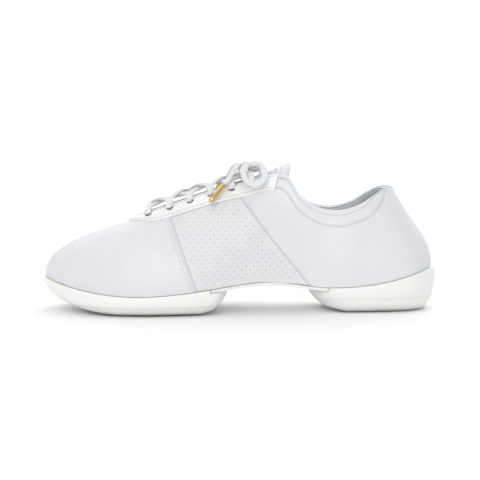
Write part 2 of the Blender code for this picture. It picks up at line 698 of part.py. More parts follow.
def make_lace_crossings(finish, home, cutters):
    """The laced part of the lace: a bar at each end of the throat and crossed runs between them."""
    over = GAP + EYESTAY_THICKNESS + LACE_CLEARANCE + LACE_DIAMETER / 2
    alongs = np.linspace(LACE_FIRST, LACE_LAST, LACE_CROSSINGS + 1)
    pairs = [(0, 0)]
    for row in range(LACE_CROSSINGS):
        pairs += [(row, row + 1), (row + 1, row)]
    runs = []
    for number, (outer_row, inner_row) in enumerate(pairs):
        turns = (turn_at_lip(alongs[outer_row], False), turn_at_lip(alongs[inner_row], True))
        depths = np.array([0.0, 0.5, 1.0]) * (EYELET_INSET + LACE_END_STAGGER * (number % 2))
        line = across_throat(turns, depths, over, LACE_CROWN, [0.25, 0.5, 0.75])
        runs.append(smooth_line(line, LACE_POINT_SPACING))
    turns = (turn_at_lip(alongs[-1], False), turn_at_lip(alongs[-1], True))
    line = across_throat(turns, depths, over, LACE_CROWN, [0.25, 0.5, 0.75])
    middle = len(line) // 2
    knot_side = KNOT_WIDTH / 2 + GAP
    for half in (line[: middle + 1], line[: middle - 1 : -1]):
        fine = smooth_line(half, GAP)
        runs.append(smooth_line(fine[np.abs(fine[:, 1]) > knot_side], LACE_POINT_SPACING))
    knot_middle = line[middle] + np.array(KNOT_OVER_BAR)
    runs = [tube_run(number, run, finish, home, cutters) for number, run in enumerate(runs)]
    for run in runs[1:]:
        run.hide_render = True
        run.display_type = "WIRE"
    laced = runs[0]
    cutters.objects.unlink(laced)
    home.objects.link(laced)
    laced.name = "lace_crossings"
    laced.data.materials.clear()
    laced.data.materials.append(finish)
    for run in runs[1:]:
        joined = laced.modifiers.new("join " + run.name, "BOOLEAN")
        joined.operation = "UNION"
        joined.object = run
    return knot_middle


def tube_run(number, points, finish, home, cutters):
    tube = make_tube(f"lace_run_{number}", points, LACE_DIAMETER, finish, home)
    bpy.context.view_layer.update()
    return as_mesh_object(tube, cutters)


def make_knot(middle, finish, home):
    mesh = bpy.data.meshes.new("lace_knot")
    shaped = bmesh.new()
    bmesh.ops.create_uvsphere(shaped, u_segments=16, v_segments=10, radius=0.5)
    bmesh.ops.scale(shaped, vec=(KNOT_LENGTH, KNOT_WIDTH, KNOT_HEIGHT), verts=shaped.verts)
    tilt = Matrix.Rotation(math.radians(-KNOT_TILT), 3, "Y")
    bmesh.ops.rotate(shaped, matrix=tilt, verts=shaped.verts)
    shaped.to_mesh(mesh)
    shaped.free()
    mesh.shade_smooth()
    knot = add_object("lace_knot", mesh, finish, home)
    knot.location = middle
    return knot


def make_free_lace(middle, lace_finish, aglet_finish, home):
    for side, points in (("outer", OUTER_LOOP), ("inner", INNER_LOOP)):
        line = smooth_line(np.array(points) + middle, LACE_POINT_SPACING)
        make_tube("lace_loop_" + side, line, LACE_DIAMETER, lace_finish, home)
    for side, points in (("outer", OUTER_END), ("inner", INNER_END)):
        line = smooth_line(np.array(points) + middle, LACE_POINT_SPACING)
        make_tube("lace_end_" + side, line, LACE_DIAMETER, lace_finish, home)
        way = line[-1] - line[-2]
        way /= np.linalg.norm(way)
        run = [line[-1] + way * GAP, line[-1] + way * (GAP + AGLET_LENGTH)]
        make_tube("aglet_" + side, run, AGLET_DIAMETER, aglet_finish, home)


def main():
    start_empty()
    home = collection("dance_sneaker")
    cutters = collection("cutters")
    leather = material("upper_leather", (0.86, 0.88, 0.91), 0.45)
    facing = material("facing_leather", (0.88, 0.90, 0.92), 0.40)
    panel_leather = material("arch_leather", (0.87, 0.88, 0.89), 0.55)
    tongue_textile = material("tongue_textile", (0.84, 0.87, 0.90), 0.80)
    lining = material("lining_textile", (0.72, 0.77, 0.79), 0.85)
    rubber = material("sole_rubber", (0.90, 0.89, 0.87), 0.55)
    spot_plastic = material("spot_plastic", (0.47, 0.30, 0.21), 0.35)
    lace_cloth = material("lace_cloth", (0.90, 0.91, 0.92), 0.80)
    brass = material("aglet_brass", (0.78, 0.62, 0.30), 0.30, metallic=1.0)

    make_upper(leather, home)
    make_insole(lining, home)
    make_arch_panel(panel_leather, home)
    make_tongue(tongue_textile, home)
    make_eyestay(facing, home)

    outline = foot_outline(SOLE_FLARE)
    toe_tip = outline[0][0, 0] + PAD_TIP_INSET
    heel_tip = outline[0][-1, 0] - PAD_TIP_INSET
    front_spot = (along_to_x(FRONT_SPOT_PLACE), FRONT_SPOT_SIDE, 0.0)
    heel_spot = (along_to_x(HEEL_SPOT_PLACE), 0.0, 0.0)
    front_shape = PadShape(
        lambda x: x - toe_tip, TOE_TIP_ROUND, lambda x: FRONT_SOLE_BACK - x, FRONT_CUT_ROUND, 3.0
    )
    heel_shape = PadShape(
        lambda x: heel_tip - x, HEEL_TIP_ROUND, lambda x: x - HEEL_SOLE_FRONT, HEEL_CUT_ROUND, 2.2
    )
    make_pad("front_sole", (toe_tip, FRONT_SOLE_BACK), ARCH_PANEL_FRONT - GAP - STEP_WALL,
             FRONT_TREAD, front_shape, front_spot, rubber, home, cutters)
    make_pad("heel_sole", (HEEL_SOLE_FRONT, heel_tip), ARCH_PANEL_BACK + GAP,
             HEEL_TREAD, heel_shape, heel_spot, rubber, home, cutters)
    make_spin_spot("front_spin_spot", front_spot, spot_plastic, home)
    make_spin_spot("heel_spin_spot", heel_spot, spot_plastic, home)
    knot_middle = make_lace_crossings(lace_cloth, home, cutters)
    make_knot(knot_middle, lace_cloth, home)
    make_free_lace(knot_middle, lace_cloth, brass, home)


main()
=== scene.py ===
"""A split-sole dance sneaker for the left foot, standing empty on its two sole pads.

Metres, +Z up. +X points to the heel and -Y to the outer side of the foot.
"""

import math
from collections import namedtuple

import bmesh
import bpy
import numpy as np
from mathutils import Matrix, Vector


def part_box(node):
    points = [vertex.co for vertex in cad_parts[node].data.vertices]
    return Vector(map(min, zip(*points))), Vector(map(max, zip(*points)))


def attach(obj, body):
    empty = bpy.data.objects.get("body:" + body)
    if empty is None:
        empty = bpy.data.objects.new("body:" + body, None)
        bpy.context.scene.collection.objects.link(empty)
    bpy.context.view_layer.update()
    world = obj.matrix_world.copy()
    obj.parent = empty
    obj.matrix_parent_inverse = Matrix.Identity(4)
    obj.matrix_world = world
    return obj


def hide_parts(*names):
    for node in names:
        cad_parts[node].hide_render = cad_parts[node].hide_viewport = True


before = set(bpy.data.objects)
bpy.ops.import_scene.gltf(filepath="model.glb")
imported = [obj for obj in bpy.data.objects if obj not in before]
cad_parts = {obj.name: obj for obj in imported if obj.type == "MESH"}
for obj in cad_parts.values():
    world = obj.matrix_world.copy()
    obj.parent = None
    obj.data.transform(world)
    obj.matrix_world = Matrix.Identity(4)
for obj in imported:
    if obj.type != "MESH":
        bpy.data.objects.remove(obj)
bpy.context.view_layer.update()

# The studio. A white paper sweep carries the shoe, a large soft box hangs over its outer side, and
# the camera looks square at that side from just above the floor.
aim = Vector((0.0, 0.0, 0.046))
lamp_aim = Vector((0.0, 0.0, 0.03))
from_toe_side = math.radians(2.5)
above = math.radians(5.0)
away = 0.90


def shown(name, data):
    """An object that shows this mesh, camera or lamp."""
    made = bpy.data.objects.new(name, data)
    bpy.context.scene.collection.objects.link(made)
    return made


def mesh_of(name, shape):
    """This bmesh as a mesh."""
    mesh = bpy.data.meshes.new(name)
    shape.to_mesh(mesh)
    shape.free()
    return mesh


camera = bpy.data.cameras.new("camera")
camera.lens = 100
camera.clip_end = 20
viewer = shown("camera", camera)
viewer.location = aim + away * Vector((
    -math.sin(from_toe_side) * math.cos(above), -math.cos(from_toe_side) * math.cos(above),
    math.sin(above),
))
viewer.rotation_euler = (aim - viewer.location).to_track_quat("-Z", "Y").to_euler()
bpy.context.scene.camera = viewer
bpy.context.scene.view_settings.view_transform = "Standard"

world = bpy.data.worlds.new("studio")
world.use_nodes = True
sky = world.node_tree.nodes["Background"].inputs
sky["Color"].default_value = (1.0, 1.0, 1.0, 1.0)
sky["Strength"].default_value = 0.52
bpy.context.scene.world = world

for name, place, size, power in (
    ("soft_box_front", (-0.25, -1.3, 0.75), 1.1, 8.6),
    ("soft_box_top", (0.15, 0.10, 1.4), 1.2, 4.6),
    ("soft_box_back", (0.5, 1.1, 0.8), 0.9, 1.6),
):
    lamp = bpy.data.lights.new(name, "AREA")
    lamp.size = size
    lamp.energy = power
    hung = shown(name, lamp)
    hung.location = place
    hung.rotation_euler = (lamp_aim - hung.location).to_track_quat("-Z", "Y").to_euler()


class Wire:
    """One shader socket. Sums and products of it add their Math nodes to its tree."""

    def __init__(self, tree, socket):
        self.tree = tree
        self.socket = socket

    def node(self, kind, settings=None, values=None, out=0):
        """Any other node: its settings go on first, then its sockets' values or links."""
        made = self.tree.nodes.new(kind)
        for key, value in (settings or {}).items():
            setattr(made, key, value)
        for key, value in (values or {}).items():
            if isinstance(value, Wire):
                self.tree.links.new(value.socket, made.inputs[key])
            else:
                made.inputs[key].default_value = value
        return Wire(self.tree, made.outputs[out])

    def parts(self):
        """The x, y and z of a vector."""
        split = self.node("ShaderNodeSeparateXYZ", None, {"Vector": self}).socket.node
        return [Wire(self.tree, socket) for socket in split.outputs]

    def math(self, operation, *others):
        values = dict(enumerate((self, *others)))
        return self.node("ShaderNodeMath", {"operation": operation}, values)

    def __add__(self, other):
        return self.math("ADD", other)

    def __sub__(self, other):
        return self.math("SUBTRACT", other)

    def __rsub__(self, other):
        return self.node("ShaderNodeMath", {"operation": "SUBTRACT"}, {0: other, 1: self})

    def __mul__(self, other):
        return self.math("MULTIPLY", other)

    def band(self, low, high):
        """0 below low, 1 above high, smooth between them."""
        return self.node(
            "ShaderNodeMapRange", {"interpolation_type": "SMOOTHSTEP"},
            {"Value": self, "From Min": low, "From Max": high, "To Min": 0.0, "To Max": 1.0},
        )

    def over(self, under, colour):
        """This mask's colour over another colour."""
        return self.node(
            "ShaderNodeMix", {"data_type": "RGBA"}, {"Factor": self, 6: under, 7: (*colour, 1.0)}, out=2,
        )

    def tint(self, low, high):
        """A colour between low and high."""
        return self.over((*low, 1.0), high)


def finish(name, roughness, build, **uniform):
    """A material. build is given the Object coordinates and returns sockets and their wires, with
    height for the bump in metres."""
    made = bpy.data.materials.new(name)
    made.use_nodes = True
    tree = made.node_tree
    shader = tree.nodes["Principled BSDF"]
    shader.inputs["Roughness"].default_value = roughness
    for key, value in uniform.items():
        shader.inputs[key.replace("_", " ")].default_value = value
    place = Wire(tree, None).node("ShaderNodeTexCoord", out=3)
    looks = build(place)
    height = looks.pop("height", None)
    if height is not None:
        bump = {"Height": height, "Distance": 1.0, "Strength": 1.0}
        looks["Normal"] = place.node("ShaderNodeBump", None, bump)
    for key, wire in looks.items():
        tree.links.new(wire.socket, shader.inputs[key])
    return made


def noise(place, size, detail=2.0, roughness=0.5):
    """Smooth noise from 0 to 1 whose lumps are about this many metres across."""
    return place.node(
        "ShaderNodeTexNoise", None,
        {"Vector": place, "Scale": 1.0 / size, "Detail": detail, "Roughness": roughness},
    )


def paper(place):
    _, far, _ = place.parts()
    return {
        "Base Color": noise(place, 0.4).tint((0.95, 0.95, 0.95), (0.97, 0.97, 0.97)),
        # The far part of the sweep glows: painted light that stands in for lamps on the backdrop, none near
        # the shoe and full at the back.
        "Emission Color": far.band(0.25, 1.5).tint((0.0, 0.0, 0.0), (1.0, 1.0, 1.0)),
    }


# The paper lies 0.15 mm below the pads, so that the two faces don't share a plane
PAPER_LEVEL = -0.00015
BEND_PLACE = 1.3
BEND_RADIUS = 0.7
profile = [(-3.0, PAPER_LEVEL), (BEND_PLACE, PAPER_LEVEL)]
profile += [
    (BEND_PLACE + BEND_RADIUS * math.sin(a), BEND_RADIUS - BEND_RADIUS * math.cos(a))
    for a in np.linspace(0.1, math.pi / 2, 16)
]
profile += [(2.0, 4.0)]
sweep = bmesh.new()
rows = [[sweep.verts.new((x, y, z)) for y, z in profile] for x in (-4.0, 4.0)]
for j in range(len(profile) - 1):
    sweep.faces.new((rows[0][j], rows[1][j], rows[1][j + 1], rows[0][j + 1]))
sweep_mesh = mesh_of("paper_sweep", sweep)
sweep_mesh.shade_smooth()
sweep_mesh.materials.append(finish("white_paper", 0.9, paper, Emission_Strength=0.75))
floor = shown("paper_sweep", sweep_mesh)

# The upper's shell: backing and textile lining sewn together and pulled over the last. Its outside
# shows only between the two side seams, as a panel of fine perforated leather.
SHOE_LENGTH = 0.265
BALL_WIDTH = 0.092
HEEL_WIDTH = 0.064
HEEL_TAB_HEIGHT = 0.083
ANKLE_HEIGHT = 0.068
INSTEP_HEIGHT = 0.092
VAMP_HEIGHT = 0.062
COLLAR_WIDTH = 0.057
THROAT_WIDTH = 0.027
UPPER_WALL = 0.0018
COLLAR_PADDING = 0.0030
COLLAR_PADDING_DEPTH = 0.020
GAP = 0.0003
SIDE_PANEL_SUNK = 0.0005

# Round the shoe from heel to toe, all as shares: of the length, where the ray's foot and lip lie; of
# the width, how far out its foot lies on either side; of the named heights and widths, its lip; and
# how steeply it falls away from the lip, in degrees
Ray = namedtuple("Ray", "foot outer inner lip tab ankle instep collar throat fall")
UPPER_RAYS = [
    Ray(0.011, 0.000, 0.000, 0.113, 1.00, 0.00, 0.00, 0.000, 0.000, 66),
    Ray(0.022, 0.180, 0.180, 0.119, 1.00, 0.00, 0.00, 0.158, 0.000, 67),
    Ray(0.057, 0.352, 0.352, 0.140, 0.93, 0.07, 0.00, 0.298, 0.000, 70),
    Ray(0.094, 0.445, 0.438, 0.170, 0.63, 0.37, 0.00, 0.395, 0.000, 74),
    Ray(0.151, 0.492, 0.484, 0.208, 0.23, 0.77, 0.00, 0.456, 0.000, 78),
    Ray(0.226, 0.500, 0.477, 0.260, 0.00, 1.00, 0.00, 0.491, 0.000, 80),
    Ray(0.302, 0.492, 0.438, 0.313, 0.00, 0.90, 0.10, 0.500, 0.000, 80),
    Ray(0.377, 0.467, 0.378, 0.355, 0.00, 0.56, 0.44, 0.456, 0.000, 76),
    Ray(0.453, 0.458, 0.345, 0.385, 0.00, 0.06, 0.94, 0.351, 0.000, 62),
    Ray(0.517, 0.464, 0.362, 0.426, 0.00, 0.00, 0.93, 0.000, 0.574, 46),
    Ray(0.577, 0.473, 0.389, 0.487, 0.00, 0.00, 0.78, 0.000, 0.500, 40),
    Ray(0.634, 0.485, 0.419, 0.551, 0.00, 0.00, 0.64, 0.000, 0.463, 38),
    Ray(0.698, 0.505, 0.462, 0.615, 0.00, 0.00, 0.46, 0.000, 0.419, 37),
    Ray(0.762, 0.505, 0.484, 0.675, 0.00, 0.00, 0.28, 0.000, 0.378, 36),
    Ray(0.830, 0.462, 0.467, 0.717, 0.00, 0.00, 0.15, 0.000, 0.344, 32),
    Ray(0.898, 0.364, 0.408, 0.740, 0.00, 0.00, 0.07, 0.000, 0.278, 27),
    Ray(0.955, 0.220, 0.285, 0.749, 0.00, 0.00, 0.02, 0.000, 0.167, 22),
    Ray(0.982, 0.105, 0.165, 0.751, 0.00, 0.00, 0.00, 0.000, 0.081, 20),
    Ray(0.991, 0.033, 0.033, 0.752, 0.00, 0.00, 0.00, 0.000, 0.000, 19),
]
# Heights of the seam over the floor, against the share of the length from the back of the heel
SEAM_PLACES = [
    0.000, 0.064, 0.132, 0.196, 0.260, 0.332, 0.377, 0.426, 0.491, 0.555, 0.608, 0.687, 0.751,
    0.819, 0.883, 0.949, 1.000,
]
SEAM_HEIGHTS = [
    0.03000, 0.02545, 0.02103, 0.01830, 0.01716, 0.01825, 0.02000, 0.02124, 0.02054, 0.01830,
    0.01638, 0.01430, 0.01350, 0.01420, 0.01630, 0.01970, 0.02350,
]
# The dents of wear and of the leather's own slack: their middle's x and z, their half length, half
# width and slant, their depth, and the side of the shoe they lie on
Dent = namedtuple("Dent", "x z length width slant depth side")
DENTS = [
    Dent(-0.052, 0.047, 0.020, 0.0045, 62, 0.00055, -1),
    Dent(-0.064, 0.043, 0.018, 0.0040, 66, 0.00045, -1),
    Dent(0.036, 0.060, 0.022, 0.0060, -62, 0.00060, -1),
    Dent(0.052, 0.046, 0.026, 0.0075, -28, 0.00050, -1),
    Dent(0.088, 0.052, 0.018, 0.0060, 70, 0.00060, -1),
    Dent(0.014, 0.030, 0.024, 0.0070, 8, 0.00055, -1),
    Dent(-0.050, 0.046, 0.020, 0.0045, 62, 0.00055, 1),
    Dent(-0.066, 0.042, 0.018, 0.0040, 66, 0.00045, 1),
    Dent(0.038, 0.058, 0.022, 0.0060, -60, 0.00065, 1),
    Dent(0.054, 0.046, 0.026, 0.0075, -24, 0.00055, 1),
    Dent(0.090, 0.050, 0.018, 0.0060, 72, 0.00055, 1),
    Dent(0.008, 0.034, 0.028, 0.0080, 4, 0.00070, 1),
]
# Rows of the upper's net round the shoe, and steps from lip to foot
TURNS = 1200
STEPS = 240


def smooth_step(low, high, value):
    share = np.clip((value - low) / (high - low), 0.0, 1.0)
    return share * share * (3.0 - 2.0 * share)


def hermite(t, first, first_way, second, second_way):
    """From first, at t 0, to second, at t 1, with the way that the curve takes at either."""
    return (
        (2 * t**3 - 3 * t**2 + 1) * first + (t**3 - 2 * t**2 + t) * first_way
        + (3 * t**2 - 2 * t**3) * second + (t**3 - t**2) * second_way
    )


def curve_through(places, values, at):
    """A smooth curve through unevenly spaced rows."""
    places, values = np.asarray(places, float), np.asarray(values, float)
    slopes = np.gradient(values, places)
    at = np.clip(at, places[0], places[-1])
    row = np.clip(np.searchsorted(places, at, side="right") - 1, 0, len(places) - 2)
    width = places[row + 1] - places[row]
    return hermite(
        (at - places[row]) / width, values[row], width * slopes[row], values[row + 1],
        width * slopes[row + 1],
    )


def seam_height(along):
    return curve_through(SEAM_PLACES, SEAM_HEIGHTS, along)


def outward_of(loop):
    run = np.roll(loop, -1, axis=0) - np.roll(loop, 1, axis=0)
    out = np.stack([-run[:, 1], run[:, 0], np.zeros(len(loop))], axis=1)
    return out / np.linalg.norm(out, axis=1, keepdims=True)


# Handles of each ray's curve, as shares of the chord from its foot to its lip
FOOT_RISE = 0.30
FOOT_LEAN = 0.03
LIP_FALL = 0.40


def control_rays():
    """Four points for each ray, clockwise from above: heel, outer side, toe, inner side."""
    feet, lips = {-1: [], 1: []}, {-1: [], 1: []}
    for row in UPPER_RAYS:
        height = (
            row.tab * HEEL_TAB_HEIGHT + row.ankle * ANKLE_HEIGHT + row.instep * INSTEP_HEIGHT
            + (1.0 - row.tab - row.ankle - row.instep) * VAMP_HEIGHT
        )
        half = row.collar * COLLAR_WIDTH + row.throat * THROAT_WIDTH
        width = HEEL_WIDTH + (BALL_WIDTH - HEEL_WIDTH) * smooth_step(0.30, 0.65, row.foot)
        for side, share in ((-1, row.outer), (1, row.inner)):
            feet[side].append((SHOE_LENGTH * (0.5 - row.foot), side * share * width, seam_height(row.foot)))
            lips[side].append((SHOE_LENGTH * (0.5 - row.lip), side * half, height))
    foot = np.array(feet[-1] + feet[1][-2:0:-1])
    lip = np.array(lips[-1] + lips[1][-2:0:-1])
    falls = np.radians([row.fall for row in UPPER_RAYS])
    falls = np.concatenate([falls, falls[-2:0:-1]])[:, None]
    chord = np.linalg.norm(lip - foot, axis=1, keepdims=True)
    up = np.array([[0.0, 0.0, 1.0]])
    rising = foot + FOOT_RISE * chord * up + FOOT_LEAN * chord * outward_of(foot)
    falling = lip + LIP_FALL * chord * (np.cos(falls) * outward_of(lip) - np.sin(falls) * up)
    return np.stack([foot, rising, falling, lip], axis=1)


def through_middle(a, b, c, d, t):
    """From b, at t 0, to c, at t 1, on the smooth curve through four points."""
    return 0.5 * (
        2 * b + (c - a) * t + (2 * a - 5 * b + 4 * c - d) * t**2 + (3 * b - a - 3 * c + d) * t**3
    )


def rays_at(turns):
    rows = control_rays()
    place = np.asarray(turns, float) * len(rows)
    first = np.floor(place).astype(int)
    t = (place - first)[:, None, None]
    return through_middle(*(rows[(first + step) % len(rows)] for step in (-1, 0, 1, 2)), t)


def wall_table():
    """The upper's outside on a fine net, and its lengths from lip to foot."""
    control = rays_at(np.arange(TURNS) / TURNS)
    t = np.linspace(1.0, 0.0, 61)[None, :, None]
    foot, rising, falling, lip = (control[:, None, k] for k in range(4))
    line = (1 - t)**3 * foot + 3 * t * (1 - t)**2 * rising + 3 * t**2 * (1 - t) * falling + t**3 * lip
    step = np.linalg.norm(np.diff(line, axis=1), axis=2)
    length = np.concatenate([np.zeros((TURNS, 1)), np.cumsum(step, axis=1)], axis=1)
    net = np.empty((TURNS, STEPS + 1, 3))
    for i in range(TURNS):
        places = np.linspace(0.0, length[i, -1], STEPS + 1)
        for axis in range(3):
            net[i, :, axis] = curve_through(length[i], line[i, :, axis], places)
    return net, length[:, -1]


def net_normals(net):
    run = np.roll(net, -1, axis=0) - np.roll(net, 1, axis=0)
    normal = np.cross(run, np.gradient(net, axis=1))
    return normal / np.linalg.norm(normal, axis=2, keepdims=True)


wall_net, wall_long = wall_table()
wall_out = net_normals(wall_net)
# Each dent is a long trough with a lower ridge beside it
dent = np.zeros(wall_net.shape[:2])
for row in DENTS:
    dx, dz = wall_net[:, :, 0] - row.x, wall_net[:, :, 2] - row.z
    angle = math.radians(row.slant)
    along = dx * math.cos(angle) + dz * math.sin(angle)
    across = -dx * math.sin(angle) + dz * math.cos(angle)
    trough = np.exp(-(along / row.length)**2 - (across / row.width)**2)
    ridge = np.exp(-(along / row.length)**2 - ((across - 2.1 * row.width) / row.width)**2)
    dent += row.depth * (0.5 * ridge - trough) * (wall_net[:, :, 1] * row.side > 0)
wall_net = wall_net + wall_out * dent[:, :, None]
wall_out = net_normals(wall_net)


def wall_length(turn):
    lengths = np.append(wall_long, wall_long[0])
    return np.interp(np.asarray(turn) % 1.0 * TURNS, np.arange(TURNS + 1), lengths)


def on_wall(turn, down, height=0.0):
    """Points beside the upper: turn round it, down below its lip and height out from its outside."""
    turn, down, height = np.broadcast_arrays(*(np.asarray(v, float) for v in (turn, down, height)))
    place = (turn % 1.0) * TURNS
    i = np.floor(place).astype(int) % TURNS
    k = (i + 1) % TURNS
    past = (place - np.floor(place))[..., None]
    steps = down / wall_length(turn) * STEPS
    j = np.clip(np.floor(steps).astype(int), 0, STEPS - 1)
    deep = (steps - j)[..., None]

    def between(net, deep):
        return (
            net[i, j] * (1 - past) * (1 - deep) + net[k, j] * past * (1 - deep)
            + net[i, j + 1] * (1 - past) * deep + net[k, j + 1] * past * deep
        )

    out = between(wall_out, np.clip(deep, 0.0, 1.0))
    return between(wall_net, deep) + out / np.linalg.norm(out, axis=-1, keepdims=True) * height[..., None]


def wall_thick(turn, down):
    """How far inside the outside the lining lies: the wall, with the collar's padding."""
    place = on_wall(turn, np.zeros_like(turn))[..., 0]
    collar = 1.0 - smooth_step(0.30, 0.37, 0.5 - place / SHOE_LENGTH)
    deep = down / COLLAR_PADDING_DEPTH
    swell = smooth_step(-0.2, 0.15, deep) * (1.0 - smooth_step(0.55, 1.0, deep))
    return UPPER_WALL + COLLAR_PADDING * collar * swell


def net_solid(name, front, back, closed, materials, shade=None):
    """A closed piece between two nets of points; closed joins the last row to the first. shade is the
    painted shade at each point of the front, darkest in a seam."""
    rows, columns = front.shape[:2]
    count = rows * columns
    edge, side = np.arange(rows if closed else rows - 1), np.arange(columns - 1)
    near = (edge + 1) % rows
    i, j = np.meshgrid(edge, side, indexing="ij")
    k = (i + 1) % rows
    quads = np.stack([i * columns + j, i * columns + j + 1, k * columns + j + 1, k * columns + j], axis=-1)
    quads = quads.reshape(-1, 4)
    faces = [quads, quads[:, ::-1] + count]
    rims = [
        (np.stack([edge, near, near, edge], axis=1) * columns + column, column > 0)
        for column in (0, columns - 1)
    ]
    if not closed:
        rims += [
            (np.stack([side, side + 1, side + 1, side], axis=1) + row * columns, row == 0)
            for row in (0, rows - 1)
        ]
    for rim, turned in rims:
        rim[:, 2:] += count
        faces.append(rim[:, ::-1] if turned else rim)
    points = np.concatenate([front.reshape(-1, 3), back.reshape(-1, 3)])
    mesh = bpy.data.meshes.new(name)
    mesh.from_pydata(points.tolist(), [], np.concatenate(faces).tolist())
    shaped = bmesh.new()
    shaped.from_mesh(mesh)
    bmesh.ops.recalc_face_normals(shaped, faces=shaped.faces)
    shaped.to_mesh(mesh)
    shaped.free()
    if shade is not None:
        shades = np.concatenate([np.broadcast_to(shade, (rows, columns)).ravel(), np.zeros(count)])
        stored = mesh.attributes.new("seam_shade", "FLOAT", "POINT")
        stored.data.foreach_set("value", shades.astype(np.float32))
    for used in materials:
        mesh.materials.append(used)
    if len(materials) > 1:
        on_back = np.zeros(len(mesh.polygons), int)
        on_back[len(quads):2 * len(quads)] = 1
        mesh.polygons.foreach_set("material_index", on_back)
    mesh.shade_smooth()
    mesh.set_sharp_from_angle(angle=math.radians(50))
    made = shown(name, mesh)
    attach(made, "root")
    return made


def leather(name, light, dark, grain=0.0011, depth=0.00006, roughness=0.46):
    """Smooth white leather: pebbled grain, faint clouding, and a slightly duller bloom."""

    def build(place):
        cells = place.node(
            "ShaderNodeTexVoronoi", {"feature": "SMOOTH_F1"},
            {"Vector": place, "Scale": 1.0 / grain, "Smoothness": 0.6},
        )
        pores = noise(place, grain * 0.35, 2.0)
        cloud = noise(place, 0.035, 3.0)
        wear_and_groove_shade = noise(place, 0.012, 4.0, 0.6)
        # seam_shade is painted shade: the colour turns grey where shade gathers in seams, stitched rows and
        # panel edges.
        seam = place.node("ShaderNodeAttribute", {"attribute_name": "seam_shade"}, out=2)
        colour = cloud.band(0.35, 0.70).tint(dark, light)
        colour = (seam * 0.58).over(colour, (0.36, 0.39, 0.43))
        rough = wear_and_groove_shade.band(0.3, 0.8) * 0.10 + roughness
        height = (cells * 0.7 + pores * 0.3) * depth + noise(place, 0.009, 2.0) * 0.00022 - seam * 0.0001
        return {"Base Color": colour, "Roughness": rough, "height": height}

    return finish(name, roughness, build, Specular_IOR_Level=0.42)


def knit(name, light, dark, pitch, depth):
    """A fine woven or knitted cloth, its rows a pitch apart."""

    def build(place):
        x, y, z = place.parts()
        warp = ((x + y * 0.6) * (2 * math.pi / pitch)).math("SINE")
        weft = ((z + y * 0.8) * (2 * math.pi / pitch)).math("SINE")
        weave = warp * weft * 0.5 + 0.5
        cloud = noise(place, 0.02, 3.0)
        # seam_shade is painted shade in seams; the weave's hollows are painted darker as shade, and the
        # clouding is the cloth's own.
        seam = place.node("ShaderNodeAttribute", {"attribute_name": "seam_shade"}, out=2)
        colour = (weave * 0.6 + cloud * 0.4).tint(dark, light)
        return {
            "Base Color": (seam * 0.6).over(colour, (0.34, 0.38, 0.42)),
            "height": weave * depth + noise(place, 0.004) * 0.0001,
        }

    return finish(name, 0.9, build, Sheen_Weight=0.25, Sheen_Roughness=0.5)


perforated_leather = leather(
    "perforated_leather", (0.768, 0.780, 0.790), (0.733, 0.747, 0.760),
    grain=0.0008, depth=0.00005, roughness=0.52,
)
lining_cloth = knit("lining_cloth", (0.50, 0.56, 0.58), (0.40, 0.46, 0.49), 0.0011, 0.00012)

turns = np.arange(380)[:, None] / 380
shares = np.linspace(0.0, 1.0, 64)[None, :] ** 0.85
downs = np.maximum(shares * wall_length(turns), 0.0007)
outside = on_wall(turns, downs, -SIDE_PANEL_SUNK)
inside = on_wall(turns, downs, -wall_thick(turns, downs))
inside[:, -1, 2] = outside[:, -1, 2]
shell = net_solid("upper_shell", outside, inside, True, [perforated_leather, lining_cloth])
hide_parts("upper")

# The quarter: one piece of soft white leather round the heel, from side seam to side seam. It is
# turned over the collar's padding, stitched down in two rows and edge-stitched to the side panels.
PANEL_THICK = 0.0006
PANEL_TOP = 0.0001
PANEL_BACK = -0.0011
SEAM_INSETS = np.array([0.0, 0.00004, 0.00016, 0.00040, 0.0008, 0.0014, 0.0018, 0.0022])
# How far one turn round the shoe is, by which an inset becomes a share of a turn
ROUND_SHOE = 0.60
COLLAR_STITCH_ROWS = (0.0036, 0.0108)
GROOVE_DEEP = 0.00045
SWELL_HIGH = 0.0007


def rear_seam(z):
    """The quarter's front edge on either side: its x at a height z."""
    return 0.0452 - 0.787 * (z - 0.0169) + 0.9 * (z - 0.0169) * (z - 0.0743)


def front_seam(z):
    """The vamp's back edge on either side: its x at a height z."""
    return -0.0295 - 0.367 * (z - 0.0177)


def seam_turns(line, shares, inner_side):
    """Where round the shoe a seam line crosses each row at these shares of the way down."""
    half = np.arange(1, TURNS // 2)
    columns = np.clip(np.rint(np.asarray(shares) * STEPS).astype(int), 0, STEPS)
    found = []
    for column in columns:
        index = -half if inner_side else half
        past = wall_net[index, column, 0] - line(wall_net[index, column, 2])
        first = int(np.argmax(past < 0.0))
        found.append((first + past[first - 1] / (past[first - 1] - past[first])) / TURNS)
    found = np.array(found)
    smooth = np.convolve(np.pad(found, 3, mode="reflect", reflect_type="odd"), np.ones(7) / 7, mode="valid")
    return 1.0 - smooth if inner_side else smooth


def panel_columns(starts, ends, count):
    """Turns across a panel from one seam to the other, with close rows that round both its edges,
    each row's height out, and the painted shade it takes at the seam or its stitched row."""
    full = np.array([-0.55, 0.20, 0.62, 0.90, 1.0, 1.0, 1.0, 1.0])
    sewn_shade = np.array([1.0, 1.0, 1.0, 0.80, 0.30, 0.0, 0.60, 0.0])
    inset = SEAM_INSETS[:, None]
    pace = np.sign(ends - starts)[None, :] / ROUND_SHOE
    left, right = starts + inset * pace, ends - inset[::-1] * pace
    middle = np.linspace(0.0, 1.0, count)[1:-1, None]
    between = left[-1:] + (right[:1] - left[-1:]) * middle
    full = np.concatenate([full, np.ones(count - 2), full[::-1]])[:, None]
    sewn_shade = np.concatenate([sewn_shade, np.zeros(count - 2), sewn_shade[::-1]])[:, None]
    height = PANEL_TOP * full + PANEL_THICK * (full - 1.0) * 1.2
    return np.concatenate([left, between, right]), height, sewn_shade


